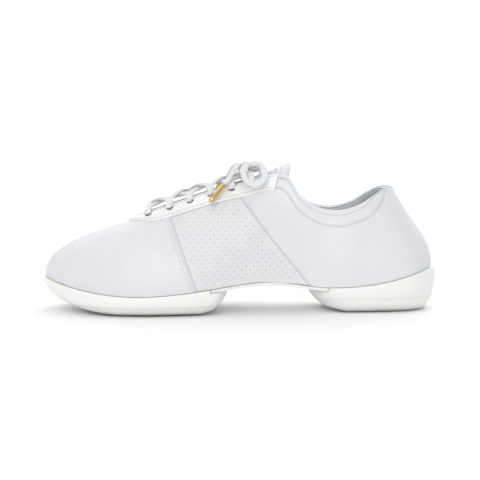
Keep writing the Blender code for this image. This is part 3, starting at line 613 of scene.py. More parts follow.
def tab_line(x, depth):
    """How far down a stitched row of the collar lies: level along the side, up to the lip at the heel."""
    end, bend = 0.084 + depth, 0.014
    rise = (x - end + bend) / bend
    return depth * np.sqrt(np.clip(1.0 - rise**2 * (x > end - bend), 0.0, 1.0))


BEND = np.linspace(0.0, math.pi, 9)[None, ::-1]


def over_lip(columns, outer, inner, radius, lowered=0.0):
    """Leather turned in over the lip, from inner inside the wall's outside to outer out from it."""
    height = (outer - inner) / 2 + (outer + inner) / 2 * np.cos(BEND)
    return on_wall(columns, radius - lowered - radius * np.sin(BEND), height)


upper_leather = leather("upper_leather", (0.778, 0.785, 0.808), (0.738, 0.746, 0.770))
quarter_shares = np.linspace(0.0, 1.0, 120)
quarter_ends = [seam_turns(rear_seam, quarter_shares, side) for side in (False, True)]
columns, height, edge_shade = panel_columns(quarter_ends[0], quarter_ends[1] - 1.0, 240)
downs = quarter_shares * wall_length(columns)
# Each stitched row of the collar is a groove with painted shade in it, and the padding swells beside it
lip_x = on_wall(columns, np.zeros_like(downs))[..., 0]
groove = np.zeros_like(downs)
for depth in COLLAR_STITCH_ROWS:
    dip = np.exp(-((downs - tab_line(lip_x, depth)) / 0.0008) ** 2)
    groove += dip * smooth_step(0.016, 0.024, lip_x)
swell = smooth_step(0.0, 0.004, downs) * (1.0 - smooth_step(0.010, 0.0125, downs))
swell *= smooth_step(0.02, 0.04, lip_x)
swell *= 1.0 - 0.9 * smooth_step(0.080, 0.094, lip_x)
height = height - GROOVE_DEEP * groove + SWELL_HIGH * swell
# The leather is turned in over the lip and tucked down inside the lining
at_lip = columns[:, :1]
lip_thick = 0.0020
radius = 0.5 * (lip_thick + PANEL_TOP)
within = np.array([[0.0065, 0.0045, 0.0030, 0.0018]])
tucked = on_wall(at_lip, within, -wall_thick(at_lip, within) - 0.0003)
turned_in = within.size + BEND.size
start = int(np.argmax(downs.min(axis=0) > radius * 1.2))
outside = on_wall(columns, np.maximum(downs, radius), height)[:, start:]
under = on_wall(columns, np.maximum(downs, 0.004), PANEL_BACK)[:, start:]
under_lip = on_wall(at_lip, np.full((1, turned_in), 0.0040), PANEL_BACK)
# The panel's edges and the collar's stitched grooves take painted shade through seam_shade; bound darkens
# the lip round the heel.
bound = smooth_step(0.083, 0.087, lip_x[:, :1]) * np.ones((1, turned_in)) * 0.55
shade = np.concatenate([bound, np.clip(edge_shade + 0.42 * groove, 0.0, 1.0)[:, start:]], axis=1)
quarter = net_solid(
    "quarter",
    np.concatenate([tucked, over_lip(at_lip, PANEL_TOP, lip_thick, radius), outside], axis=1),
    np.concatenate([under_lip, under], axis=1), False, [upper_leather], shade,
)

# The vamp: the leather over the toes, lasted down all round and stitched over the side panels.
vamp_shares = np.linspace(0.012, 1.0, 90)
vamp_ends = [seam_turns(front_seam, vamp_shares, side) for side in (False, True)]
columns, height, edge_shade = panel_columns(*vamp_ends, 240)
downs = vamp_shares * wall_length(columns)
vamp = net_solid(
    "vamp", on_wall(columns, downs, height), on_wall(columns, downs, PANEL_BACK), False,
    [upper_leather], edge_shade,
)

# The eyestay: a U-shaped facing of thicker white leather round the throat. It is folded over the
# throat's edge, stitched down along both edges, and punched with twelve eyelet holes.
EYESTAY_THICK = 0.0015
EYESTAY_WIDTH = 0.013
EYESTAY_TOE_WIDTH = 0.008
EYESTAY_BACK = -0.0009
EYESTAY_END = 0.405
EYELET_INSET = 0.0050
EYELET_HOLE = 0.0046
LACE_ROWS = np.linspace(0.725, 0.470, 6)


def turn_at_lip(along, inner_side):
    """Where round the shoe the throat's lip lies at this share of the length."""
    half = np.linspace(0.16, 0.5, 400)
    lips = 0.5 - rays_at(half)[:, 3, 0] / SHOE_LENGTH
    found = float(np.interp(along, np.maximum.accumulate(lips), half))
    return 1.0 - found if inner_side else found


def lip_pair(along):
    """The throat's lip at this share of the length, on the outer and on the inner side."""
    return [turn_at_lip(along, side) for side in (False, True)]


def facing_width(turns):
    """The facing's width, which is less round the throat's front."""
    along = 0.5 - on_wall(turns, 0.0)[:, :1] / SHOE_LENGTH
    return EYESTAY_WIDTH + (EYESTAY_TOE_WIDTH - EYESTAY_WIDTH) * smooth_step(0.70, 0.75, along)


def bake(piece):
    """Puts the piece's modifiers into its mesh."""
    graph = bpy.context.evaluated_depsgraph_get()
    result = bpy.data.meshes.new_from_object(piece.evaluated_get(graph))
    piece.modifiers.clear()
    piece.data = result


def cut_out(shape, pieces):
    """Cuts this bmesh out of the pieces."""
    cutter = shown("cutter", mesh_of("cutter", shape))
    for piece in pieces:
        cut = piece.modifiers.new("cut", "BOOLEAN")
        cut.operation = "DIFFERENCE"
        cut.object = cutter
        cut.solver = "MANIFOLD"
        bake(piece)
    bpy.data.objects.remove(cutter)


facing_leather = leather("facing_leather", (0.90, 0.90, 0.893), (0.87, 0.87, 0.866), roughness=0.44)
ends = lip_pair(EYESTAY_END)
pace = 0.0016 * np.array([0.0, 0.03, 0.1, 0.25, 0.5, 1.0])
round_up = np.array([-0.5, 0.25, 0.62, 0.90, 1.0, 1.0])
columns = np.concatenate([ends[0] + pace, np.linspace(*ends, 170)[4:-4], ends[1] - pace[::-1]])
wide = facing_width(columns)
columns = columns[:, None]
side_round = np.concatenate([round_up, np.ones(162), round_up[::-1]])[:, None]
thick = EYESTAY_THICK * side_round
inner_lip = UPPER_WALL + 0.0005
radius = 0.5 * (EYESTAY_THICK + inner_lip)
fold = over_lip(columns, thick, inner_lip, radius, lowered=0.0004)
within = np.array([[0.0045, 0.003, 0.0022]])
turned_in = within.size + BEND.size
outer_edge = [0.85, 0.88, 0.91, 0.945, 0.97, 0.986, 0.996, 1.0]
downs = np.concatenate([np.linspace(0.16, 0.82, 10), outer_edge])[None, :] * wide
heights = np.array([1.0] * 12 + [1.0, 0.90, 0.62, 0.25, 0.0, -0.3])[None, :]
# Painted shade along the facing's stitched row, its outer edge and both ends.
sewn_shade = np.array([0.0] * 11 + [0.5, 0.0, 0.0, 0.0, 0.3, 0.85, 1.0])[None, :]
crown = 0.00025 * np.sin(np.clip((downs - 0.0025) / (wide - 0.005), 0.0, 1.0) * math.pi)
top = on_wall(columns, downs, EYESTAY_THICK * heights * side_round + crown * side_round)
front = np.concatenate([on_wall(columns, within, -inner_lip), fold, top], axis=1)
under_lip = on_wall(columns, np.full((1, turned_in), 0.0040), EYESTAY_BACK)
back = np.concatenate([under_lip, on_wall(columns, downs, EYESTAY_BACK)], axis=1)
end_shade = np.zeros((len(columns), 1))
end_shade[:4, 0] = (1.0, 0.9, 0.7, 0.3)
end_shade[-4:, 0] = (0.3, 0.7, 0.9, 1.0)
shade = np.concatenate([np.zeros((len(columns), turned_in)), np.maximum(sewn_shade, end_shade)], axis=1)
eyestay = net_solid("eyestay_facing", front, back, False, [facing_leather], shade)
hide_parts("eyestay")

punches = bmesh.new()
eyelets = {}
for side in (False, True):
    for number, along in enumerate(LACE_ROWS):
        turn = turn_at_lip(along, side)
        eyelets[side, number] = turn
        middle, tip = on_wall(turn, EYELET_INSET), on_wall(turn, EYELET_INSET, 0.01)
        way = Vector(tip - middle).normalized().to_track_quat("Z", "Y")
        bmesh.ops.create_cone(
            punches, cap_ends=True, segments=24, radius1=EYELET_HOLE / 2, radius2=EYELET_HOLE / 2,
            depth=0.0064, matrix=Matrix.Translation(Vector(middle)) @ way.to_matrix().to_4x4(),
        )
cut_out(punches, (eyestay, shell, vamp, quarter))

# The tongue: a padded gusset of white knit behind the throat, its top faced with leather that is
# stitched across at the instep. It tucks under the throat's two sides.
TONGUE_THICK = 0.0028
TONGUE_WIDTH = 0.056
TONGUE_RISE = 0.014
CAP_ROW = 48


def across_throat(along):
    """A line up the outer side, over the open throat and down the inner side."""
    tucked = np.linspace(0.0, 0.5 * (TONGUE_WIDTH - THROAT_WIDTH), 9)
    first, second = (on_wall(turn, tucked, -(UPPER_WALL + 2 * GAP)) for turn in lip_pair(along))
    span = np.linalg.norm(first[0] - second[0])
    ways = [(side[0] - side[1]) / np.linalg.norm(side[0] - side[1]) * span for side in (first, second)]
    shares = np.linspace(0.0, 1.0, 25)[1:-1, None]
    over = hermite(shares, first[0], ways[0], second[0], -ways[1])
    return np.concatenate([first[::-1], over, second])


def from_end(count):
    """How many rows each row is from the nearer end."""
    return np.minimum(np.arange(count), count - 1 - np.arange(count))


def plump_by(share):
    """A padded edge's round: thin at share 0 and full from share 1."""
    return np.sqrt(1.0 - (1.0 - np.clip(share, 0.0, 1.0)) ** 2 * 0.96)


rows = np.array([across_throat(along) for along in np.linspace(0.735, 0.430, 46)])
rise = rows[-1] - rows[-4]
rise = rise / np.linalg.norm(rise, axis=1, keepdims=True)
neck = rows[-1]
for step in np.linspace(0.0, 1.0, 13)[1:]:
    added = neck + rise * TONGUE_RISE * step + np.array([0.0, 0.0, 0.001 * step**2])
    added[:, 1] *= 1.0 - 0.30 * step
    rows = np.concatenate([rows, [added]])
out = np.cross(np.gradient(rows, axis=0), np.gradient(rows, axis=1))
out /= np.linalg.norm(out, axis=2, keepdims=True)
out *= np.sign(out[:, 20, 2])[:, None, None]
plump = plump_by(from_end(len(rows))[:, None] / 2.2) * plump_by(from_end(rows.shape[1])[None, :] / 2.0)
seam_dip = np.exp(-((np.arange(len(rows))[:, None] - CAP_ROW + 0.5) / 0.9) ** 2) * 0.0006
middle = rows - out * TONGUE_THICK / 2
half = TONGUE_THICK / 2 * plump
# The knit is darker than the white cloth: painted shade over the tongue between the laces.
tongue_knit_shaded = knit("tongue_knit_shaded", (0.70, 0.735, 0.77), (0.58, 0.62, 0.66), 0.0010, 0.00010)
tongue = net_solid(
    "tongue_padded", middle + out * (half - seam_dip)[:, :, None], middle - out * half[:, :, None],
    False, [tongue_knit_shaded, lining_cloth],
)
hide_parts("tongue")

# The gusset carries the knit on under the throat's front
forward = (rows[0] - rows[2]) / np.linalg.norm(rows[0] - rows[2], axis=1, keepdims=True)
gusset_rows = []
for share in np.linspace(0.0, 1.0, 7):
    sunk = np.array([0.0, 0.0, -0.0008 - 0.0024 * share * share])
    narrowed = np.array([1.0, 1.0 - 0.25 * share, 1.0])
    gusset_rows.append((rows[1] + forward * 0.011 * share + sunk) * narrowed)
gusset_rows = np.array(gusset_rows)
gusset = net_solid(
    "tongue_gusset", gusset_rows, gusset_rows - np.array([0.0, 0.0, 0.0008]), False,
    [tongue_knit_shaded, lining_cloth],
)

band, band_out, band_plump = (net[CAP_ROW:] for net in (rows, out, plump))
half_thick = TONGUE_THICK / 2
# The facing's first rows take painted shade along its stitched seam across the tongue.
cap = net_solid(
    "tongue_top_facing",
    band + band_out * (-half_thick + (half_thick + 0.0005) * band_plump)[:, :, None],
    band - band_out * (half_thick + (half_thick + 0.0002) * band_plump)[:, :, None],
    False, [upper_leather], np.exp(-np.arange(len(band)) ** 2.0)[:, None] * 0.9,
)
cap_seam = [
    (band + band_out * (0.0007 * band_plump + reach)[:, :, None])[3, 3:-3] for reach in (0.0, 0.003)
]

# The lace: 4 mm flat braid of white polyester. It runs in crossed pairs through the punched holes,
# over the tongue, and is tied at the instep in a bow with two free ends in brass aglets.
LACE_WIDE = 0.0044
LACE_THICK = 0.0026
LACE_STEP = 0.0012
PLAIT_LONG = 0.0016
PLAITS_ROUND = 6


def braid(place):
    x, y, _ = place.node("ShaderNodeUVMap").parts()
    one = ((x + y) * (2 * math.pi)).math("SINE")
    two = ((x - y) * (2 * math.pi)).math("SINE")
    strand = (one * 0.5 + 0.5).math("MAXIMUM", two * -0.5 + 0.5)
    fuzz = noise(place, 0.0006, 3.0)
    # The hollows between the plaits are painted darker as shade; the fuzz is the braid's own tone.
    return {
        "Base Color": (strand * 0.7 + fuzz * 0.3).tint((0.66, 0.68, 0.70), (0.90, 0.90, 0.90)),
        "height": strand * 0.00022 + fuzz * 0.00005,
    }


lace_braid = finish("lace_braid", 0.82, braid, Sheen_Weight=0.2)


def length_along(line):
    """The length from the line's first point to each of its points."""
    return np.concatenate([[0.0], np.cumsum(np.linalg.norm(np.diff(line, axis=0), axis=1))])


def points_at(line, length, places):
    return np.stack([np.interp(places, length, line[:, k]) for k in range(3)], axis=1)


def smooth_line(points, spacing):
    """Evenly spaced points on a smooth curve through the given ones."""
    points = np.array(points, float)
    ends = np.concatenate([[2 * points[0] - points[1]], points, [2 * points[-1] - points[-2]]])
    t = np.linspace(0.0, 1.0, 13)[1:, None]
    line = [points[:1]]
    for a, b, c, d in zip(ends, ends[1:], ends[2:], ends[3:]):
        line.append(through_middle(a, b, c, d, t))
    line = np.concatenate(line)
    length = length_along(line)
    return points_at(line, length, np.linspace(0.0, length[-1], max(4, round(length[-1] / spacing) + 1)))


def strap_of(name, line, ups, wide, thick, closed=False):
    """A woven tube with an oval section; ups point out of its flat side. Its UV map counts plaits."""
    sides = 16
    ways = np.roll(line, -1, axis=0) - np.roll(line, 1, axis=0) if closed else np.gradient(line, axis=0)
    ways = ways / np.linalg.norm(ways, axis=1, keepdims=True)
    across = np.cross(ways, np.broadcast_to(ups, line.shape))
    across = across / np.linalg.norm(across, axis=1, keepdims=True)
    ups = np.cross(across, ways)
    angle = np.arange(sides) / sides * 2 * math.pi
    ring = (
        across[:, None] * (wide / 2 * np.cos(angle))[None, :, None]
        + ups[:, None] * (thick / 2 * np.sin(angle))[None, :, None]
    )
    if not closed:
        ring *= np.where(from_end(len(line)) == 0, 0.55, 1.0)[:, None, None]
    mesh = bmesh.new()
    verts = [mesh.verts.new(p) for p in (line[:, None] + ring).reshape(-1, 3)]
    plaits = mesh.loops.layers.uv.new("plaits")
    length = length_along(line)
    rings = len(line)
    for i in range(rings if closed else rings - 1):
        for j in range(sides):
            corners = [(i, j), (i, j + 1), (i + 1, j + 1), (i + 1, j)]
            face = mesh.faces.new([verts[(a % rings) * sides + b % sides] for a, b in corners])
            face.smooth = True
            for loop, (a, b) in zip(face.loops, corners):
                far = length[a] if a < rings else length[-1] + length[1]
                loop[plaits].uv = (far / PLAIT_LONG, b / sides * PLAITS_ROUND)
    if not closed:
        for i in (0, rings - 1):
            mesh.faces.new([verts[i * sides + j] for j in range(sides)])
    bmesh.ops.recalc_face_normals(mesh, faces=mesh.faces)
    made = shown(name, mesh_of(name, mesh))
    made.data.materials.append(lace_braid)
    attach(made, "root")
    return made


def lace_run(turn_pair, lift):
    """A run of the lace from hole to hole: up out of one, over the facing and tongue, down the other."""
    depths = (EYELET_INSET, EYELET_INSET - 0.0003, 0.0036, 0.0012)
    heights = (-0.0016, 0.0014, 0.0034, 0.0040)
    sides, outs, ways = [], [], []
    for turn in turn_pair:
        side = on_wall(turn, depths, heights)
        out = on_wall(turn, 0.004, 0.01) - on_wall(turn, 0.004)
        sides.append(side)
        outs.append(out / np.linalg.norm(out))
        ways.append((side[-1] - side[-2]) / np.linalg.norm(side[-1] - side[-2]))
    first, second = sides
    span = np.linalg.norm(first[-1] - second[-1])
    ways = [way * 0.42 * span for way in ways]
    shares = np.array([0.2, 0.4, 0.5, 0.6, 0.8])
    middle = hermite(shares[:, None], first[-1], ways[0], second[-1], -ways[1])
    middle[:, 2] += lift * np.sin(shares * math.pi) ** 2
    line = smooth_line(np.concatenate([first, middle, second[::-1]]), LACE_STEP)
    share = np.linspace(0.0, 1.0, len(line))[:, None]
    return line, outs[0] * (1 - share) + outs[1] * share + np.array([0.0, 0.0, 0.5])


# From row to row the outer side's run crosses above or below the inner side's, in turn
pairs = [(0, 0, 0.0)]
for row in range(5):
    lift = 0.0013 if row % 2 else -0.0013
    pairs += [(row, row + 1, lift), (row + 1, row, -lift)]
for number, (outer_row, inner_row, lift) in enumerate(pairs + [(5, 5, 0.0)]):
    line, ups = lace_run((eyelets[False, outer_row], eyelets[True, inner_row]), lift)
    run = strap_of(f"lace_run_{number}", line, ups, LACE_WIDE, LACE_THICK)
    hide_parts("lace_crossings")

# The bow: the lace's middle is wrapped once round itself as a knot, with a loop to each side and two
# free ends in brass aglets. The loops lie down along the facing.
knot_low, knot_high = (np.array(corner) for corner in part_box("lace_knot"))
knot_middle = (knot_low + knot_high) / 2
angle = np.linspace(0.0, 2 * math.pi, 28, endpoint=False)
wrap = np.stack([
    0.0036 * np.cos(angle) - 0.0006 * np.sin(angle), 0.0011 * np.sin(angle + 0.6), 0.0026 * np.sin(angle),
], axis=1) + knot_middle
knot = strap_of("lace_knot_wrap", wrap, wrap - knot_middle, 0.0046, 0.0023, closed=True)
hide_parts("lace_knot")
knot_pieces = [knot]
CORES = (
    [
        (-0.0012, -0.0052, 0.0004), (0.0004, -0.0022, 0.0016), (0.0008, 0.0022, 0.0016),
        (-0.0010, 0.0052, 0.0004),
    ],
    [
        (0.0022, -0.0050, -0.0006), (-0.0004, -0.0020, -0.0012), (0.0002, 0.0020, -0.0012),
        (0.0024, 0.0050, -0.0004),
    ],
)
for number, points in enumerate(CORES):
    line = smooth_line(np.array(points) + knot_middle, LACE_STEP)
    strand = strap_of(f"lace_knot_core_{number}", line, (0.2, 0.0, 1.0), 0.0040, 0.0026)
    knot_pieces.append(strand)
    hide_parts("lace_knot")

# The loops' and the ends' points, from the knot's middle
LOOPS = {
    "outer": [
        (-0.0012, -0.0042, 0.0010), (-0.0046, -0.0116, 0.0018), (-0.0078, -0.0195, -0.0022),
        (-0.0062, -0.0262, -0.0080), (-0.0005, -0.0290, -0.0108), (0.0050, -0.0258, -0.0080),
        (0.0060, -0.0190, -0.0022), (0.0042, -0.0116, 0.0018), (0.0012, -0.0042, 0.0010),
    ],
    "inner": [
        (-0.0012, 0.0042, 0.0010), (-0.0048, 0.0120, 0.0018), (-0.0080, 0.0205, -0.0026),
        (-0.0058, 0.0275, -0.0090), (0.0002, 0.0300, -0.0118), (0.0058, 0.0268, -0.0090),
        (0.0064, 0.0195, -0.0024), (0.0044, 0.0118, 0.0018), (0.0012, 0.0042, 0.0010),
    ],
}
ENDS = {
    "outer": [
        (-0.0052, -0.0014, -0.0006), (-0.0100, -0.0070, 0.0014), (-0.0130, -0.0130, -0.0006),
        (-0.0165, -0.0182, -0.0060), (-0.0208, -0.0214, -0.0112),
    ],
    "inner": [
        (-0.0052, 0.0016, -0.0006), (-0.0104, 0.0074, 0.0016), (-0.0132, 0.0138, -0.0004),
        (-0.0160, 0.0190, -0.0054), (-0.0200, 0.0224, -0.0106),
    ],
}
AGLET_LONG = 0.015
AGLET_WIDE = 0.0036
AGLET_SIDES = 28
BOW_STEP = 0.0013
# Each aglet is pressed on at three narrow rings: places along it and shares of its width
AGLET_PLACES = (0.0, 0.0004, 0.0010, 0.0013, 0.0016, 0.0030, 0.0034, 0.0038, 0.012, 0.0144, AGLET_LONG)
AGLET_WIDTHS = (0.86, 1.0, 1.0, 0.93, 1.0, 1.0, 0.93, 1.0, 0.97, 0.93, 0.70)


def brass(place):
    scratch = noise(place, 0.0009, 4.0)
    wear_and_groove_shade = noise(place, 0.004, 2.0)
    return {
        "Base Color": wear_and_groove_shade.tint((0.62, 0.43, 0.15), (0.80, 0.60, 0.27)),
        "Roughness": scratch * 0.16 + 0.20,
        "height": scratch * 0.00002,
    }


aglet_brass = finish("aglet_brass", 0.28, brass, Metallic=1.0)


def lofted(name, shape, rings, capped=True):
    """The bmesh as an object, once its rings of vertices are joined by faces and its ends closed."""
    for near, far in zip(rings, rings[1:]):
        for j in range(len(near)):
            k = (j + 1) % len(near)
            corners = dict.fromkeys((near[j], near[k], far[k], far[j]))
            shape.faces.new(list(corners)).smooth = True
    if capped:
        shape.faces.new(rings[0])
        shape.faces.new(rings[-1])
    bmesh.ops.recalc_face_normals(shape, faces=shape.faces)
    return shown(name, mesh_of(name, shape))


def aglet_tube(name, middles, radii):
    """A closed turned tube along a straight run of middles."""
    way = middles[-1] - middles[0]
    way /= np.linalg.norm(way)
    side = np.cross(way, (0.0, 0.0, 1.0))
    side /= np.linalg.norm(side)
    top = np.cross(side, way)
    angle = np.arange(AGLET_SIDES) / AGLET_SIDES * 2 * math.pi
    mesh = bmesh.new()
    rings = [
        [mesh.verts.new(m + r * (side * math.cos(a) + top * math.sin(a))) for a in angle]
        for m, r in zip(middles, radii)
    ]
    made = lofted(name, mesh, rings)
    made.data.materials.append(aglet_brass)
    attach(made, "root")
    return made


for side in ("outer", "inner"):
    line = smooth_line(np.array(LOOPS[side]) + knot_middle, BOW_STEP)
    around = line - line.mean(axis=0)
    loop = strap_of("lace_loop_" + side + "_braid", line, around, 0.0026, 0.0044)
    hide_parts("lace_loop_" + side)
    knot_pieces if side == "outer" else []
    line = smooth_line(np.array(ENDS[side]) + knot_middle, BOW_STEP)
    end = strap_of("lace_end_" + side + "_braid", line, (-0.2, 0.0, 1.0), 0.0042, 0.0028)
    way = line[-1] - line[-2]
    way /= np.linalg.norm(way)
    aglet = aglet_tube(
        "aglet_" + side + "_tube", line[-1] + way * (np.array(AGLET_PLACES)[:, None] - 0.0002),
        np.array(AGLET_WIDTHS) * AGLET_WIDE / 2,
    )
    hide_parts("aglet_" + side)
    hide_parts("lace_end_" + side)

# The two sole pads: moulded off-white rubber, glued to the upper. Their sides have a soft step and
# their undersides carry fine grooves round the recess for the spin spot.
FRONT_SPOT = (-0.056445, 0.003, 0.0)
HEEL_SPOT = (0.091955, 0.0, 0.0)
SPOT_RADIUS = 0.0215
SPOT_THICK = 0.003
SOLE_FLARE = 0.0028
TREAD_SINK = 0.0008
# Where the arch panel is let in over both pads, and how deep
ARCH_FRONT = -0.0205
ARCH_BACK = 0.0565
ARCH_SLACK = 0.00035
ARCH_RECESS = 0.0023
# The pads at their thin ends, and how far and how deep their sides turn in at the top
EDGE_THICK = 0.003
LEAST_THICK = 0.0008
TOP_TUCK = 0.0012
TUCK_DEEP = 0.005
# Each pad's underside: shares of its length from its back, and how far it has risen to the seam
FRONT_TREAD = (
    (0.00, 0.02, 0.05, 0.10, 0.15, 0.58, 0.66, 0.75, 0.85, 0.95, 1.00),
    (1.00, 0.72, 0.43, 0.15, 0.00, 0.00, 0.06, 0.20, 0.42, 0.72, 1.00),
)
HEEL_TREAD = (
    (0.00, 0.03, 0.08, 0.16, 0.21, 0.71, 0.78, 0.88, 0.96, 1.00),
    (0.72, 0.38, 0.14, 0.02, 0.00, 0.00, 0.10, 0.32, 0.68, 1.00),
)


def rubber(place):
    x, y, z = place.parts()

    def around(spot, stretch):
        across, along = y - spot[1], (x - spot[0]) * stretch
        return (across * across + along * along).math("SQRT")

    nearest = around(FRONT_SPOT, 0.80).math("MINIMUM", around(HEEL_SPOT, 0.86))
    far = nearest.band(0.0225, 0.0235)
    ripple = (nearest * (2 * math.pi / 0.0024)).math("SINE")
    waist = (x - 0.018).math("ABSOLUTE")
    wave = (y * 260.0).math("SINE") * 0.0022 + waist
    waves = (wave * (2 * math.pi / 0.0030)).math("SINE")
    near_waist = 1.0 - waist.band(0.042, 0.046)
    groove = (ripple * (1.0 - near_waist) + waves * near_waist).band(-0.2, 0.5)
    under = 1.0 - z.band(0.0016, 0.0040)
    step = (z - x.band(0.02, 0.07) * 0.0035).band(0.0052, 0.0074)
    speck = noise(place, 0.0004, 2.0)
    cloud = noise(place, 0.022, 3.0)
    scuff = noise(place, 0.006, 5.0).band(0.58, 0.78) * (1.0 - z.band(0.0, 0.006))
    # Painted shade in the hollows of the underside's grooves, outside the spot recess.
    wear_and_groove_shade = (1.0 - groove) * under * far
    colour = (cloud * 0.6 + speck * 0.4).tint((0.86, 0.85, 0.825), (0.93, 0.92, 0.895))
    colour = (wear_and_groove_shade * 0.38).over(colour, (0.52, 0.51, 0.49))
    return {
        "Base Color": (scuff * 0.22).over(colour, (0.60, 0.59, 0.57)),
        "Roughness": speck * 0.10 + 0.44 + scuff * 0.15,
        "height": groove * under * far * 0.0005 + step * 0.0006 + speck * 0.00003,
    }


sole_rubber = finish("sole_rubber", 0.5, rubber)


def foot_lines(margin):
    """The upper's foot moved outwards: y on the outer and inner side at any x, and the two tips."""
    feet = rays_at(np.arange(1440) / 1440)[:, 0]
    moved = feet + margin * outward_of(feet)
    moved = np.roll(moved, -int(np.argmax(moved[:, 0])), axis=0)
    toe = int(np.argmin(moved[:, 0]))
    outer, inner = moved[: toe + 1][::-1], np.concatenate([moved[toe:], moved[:1]])

    def sides(x):
        return np.interp(x, outer[:, 0], outer[:, 1]), np.interp(x, inner[:, 0], inner[:, 1])

    return sides, moved[toe, 0], moved[0, 0]


def rounded_end(distance, radius, power):
    reach = np.clip(1.0 - distance / radius, 0.0, 1.0)
    return max((1.0 - reach**power) ** (1.0 / power), 0.15)


def eased(count):
    """Shares from 0 to 1 that lie closer together at both ends."""
    return 0.5 - 0.5 * np.cos(np.linspace(0.0, math.pi, count))


def sole_pad(name, node, span, step, tread, tip, cut, spot):
    """A pad lofted from toe to heel, between the two places of its span. tip is the (place, rounding)
    of its outer end, cut the (place, rounding, power) of its end at the arch, step the arch panel's."""
    sides, _, _ = foot_lines(SOLE_FLARE)
    front, back = span
    places = front + (back - front) * eased(110)
    places = places[np.abs(places - step) > 0.0004]
    places = np.sort(np.concatenate([places, [step, step + 0.0001]]))
    share = np.linspace(0.0, 1.0, 22)
    turn = 0.5 * math.pi * share**2 * (3.0 - 2.0 * share)
    turn = np.concatenate([turn, math.pi - turn[-2::-1]])
    mesh = bmesh.new()
    rings = []
    for place in places:
        seam = float(seam_height(0.5 - place / SHOE_LENGTH)) - GAP
        lift = float(np.clip(curve_through(*tread, (back - place) / (back - front)), 0.0, 1.0))
        lowered = ARCH_FRONT - ARCH_SLACK < place < ARCH_BACK + ARCH_SLACK
        top = seam - (ARCH_RECESS if lowered else 0.0)
        bottom = min(lift * (seam - EDGE_THICK + TREAD_SINK) - TREAD_SINK, top - LEAST_THICK)
        middle = 0.5 * (top + bottom)
        squeeze = rounded_end(abs(place - tip[0]), tip[1], 2.0)
        top, bottom = middle + (top - middle) * squeeze, middle + (bottom - middle) * squeeze
        outer, inner = sides(place)
        half = 0.5 * (inner - outer) * rounded_end(abs(place - cut[0]), cut[1], cut[2])
        height = np.maximum(top - (top - bottom) * np.abs(np.sin(turn)) ** 0.5, 0.0)
        tuck = TOP_TUCK * np.clip(1.0 - (top - height) / TUCK_DEEP, 0.0, 1.0) ** 2
        reach = np.sign(np.cos(turn)) * np.maximum(half * np.abs(np.cos(turn)) ** 0.5 - tuck, 0.0)
        reach = 0.5 * (outer + inner) + reach
        rings.append([mesh.verts.new((place, y, z)) for y, z in zip(reach, height)])
    pad = lofted(name, mesh, rings)
    recess = bmesh.new()
    bmesh.ops.create_cone(
        recess, cap_ends=True, segments=96, radius1=SPOT_RADIUS + GAP, radius2=SPOT_RADIUS + GAP,
        depth=2 * (SPOT_THICK + GAP), matrix=Matrix.Translation(Vector(spot)),
    )
    cut_out(recess, [pad])
    pad.data.materials.clear()
    pad.data.materials.append(sole_rubber)
    pad.data.set_sharp_from_angle(angle=math.radians(40))
    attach(pad, "root")
    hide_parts(node)


FOREFOOT_BACK = -0.0085
HEEL_FRONT = 0.0445
_, toe_end, heel_end = foot_lines(SOLE_FLARE)
toe_end, heel_end = toe_end + 0.0002, heel_end - 0.0002
sole_pad(
    "forefoot_pad", "front_sole", (toe_end, FOREFOOT_BACK), ARCH_FRONT - GAP - 0.0001, FRONT_TREAD,
    (toe_end, 0.004), (FOREFOOT_BACK, 0.014, 3.0), FRONT_SPOT,
)
sole_pad(
    "heel_pad", "heel_sole", (HEEL_FRONT, heel_end), ARCH_BACK + GAP, HEEL_TREAD,
    (heel_end, 0.006), (HEEL_FRONT, 0.026, 2.2), HEEL_SPOT,
)

# The spin spots: two discs of smooth brown plastic let into the pads, each with a ring groove and a
# shallow dimple in its middle, both painted darker as shade.
SPOT_SIDES = 96
# A spot's section from the middle of its face to the middle of its back: radius in mm and height in m
SPOT_SECTION = (
    (0.0, 0.0007), (0.4, 0.00068), (1.6, 0.0006), (2.9, 0.0002), (4.5, 0.00006), (9.0, 0.00002),
    (12.4, 0.0), (14.0, 0.0002), (14.5, 0.0007), (15.2, 0.0008), (15.7, 0.0007), (16.1, 0.0),
    (18.5, 0.0), (18.8, 0.00018), (19.1, 0.0), (20.6, 0.0), (21.2, 0.0001), (21.5, 0.0005),
    (21.5, 0.0029), (21.4, 0.003), (0.0, 0.003),
)


def spot_finish(place):
    _, _, z = place.parts()
    # Painted shade: the disc darkens wherever it lies above its face, in the ring groove, the dimple and on
    # its hidden sides.
    groove = z.band(0.00012, 0.0006)
    mottled = noise(place, 0.007, 4.0)
    scuff = noise(place, 0.0016, 5.0).band(0.56, 0.74)
    colour = mottled.tint((0.15, 0.068, 0.034), (0.24, 0.115, 0.062))
    colour = (scuff * 0.35).over(colour, (0.32, 0.19, 0.13))
    return {
        "Base Color": (groove * 0.55).over(colour, (0.05, 0.022, 0.012)),
        "Roughness": scuff * 0.25 + 0.30,
        "height": mottled * 0.00003 + scuff * 0.00003,
    }


spot_plastic = finish("spot_plastic", 0.35, spot_finish)
for name, node, (x, y, _) in (
    ("forefoot_spin_spot", "front_spin_spot", FRONT_SPOT), ("heel_spin_disc", "heel_spin_spot", HEEL_SPOT)
):
    mesh = bmesh.new()
    angle = np.arange(SPOT_SIDES) / SPOT_SIDES * 2 * math.pi
    rings = [
        [mesh.verts.new((x + r / 1000 * math.cos(a), y + r / 1000 * math.sin(a), h)) for a in angle]
        if r else [mesh.verts.new((x, y, h))] * SPOT_SIDES
        for r, h in SPOT_SECTION
    ]
    disc = lofted(name, mesh, rings, capped=False)
    disc.data.set_sharp_from_angle(angle=math.radians(50))
    disc.data.materials.append(spot_plastic)
    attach(disc, "root")
    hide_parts(node)

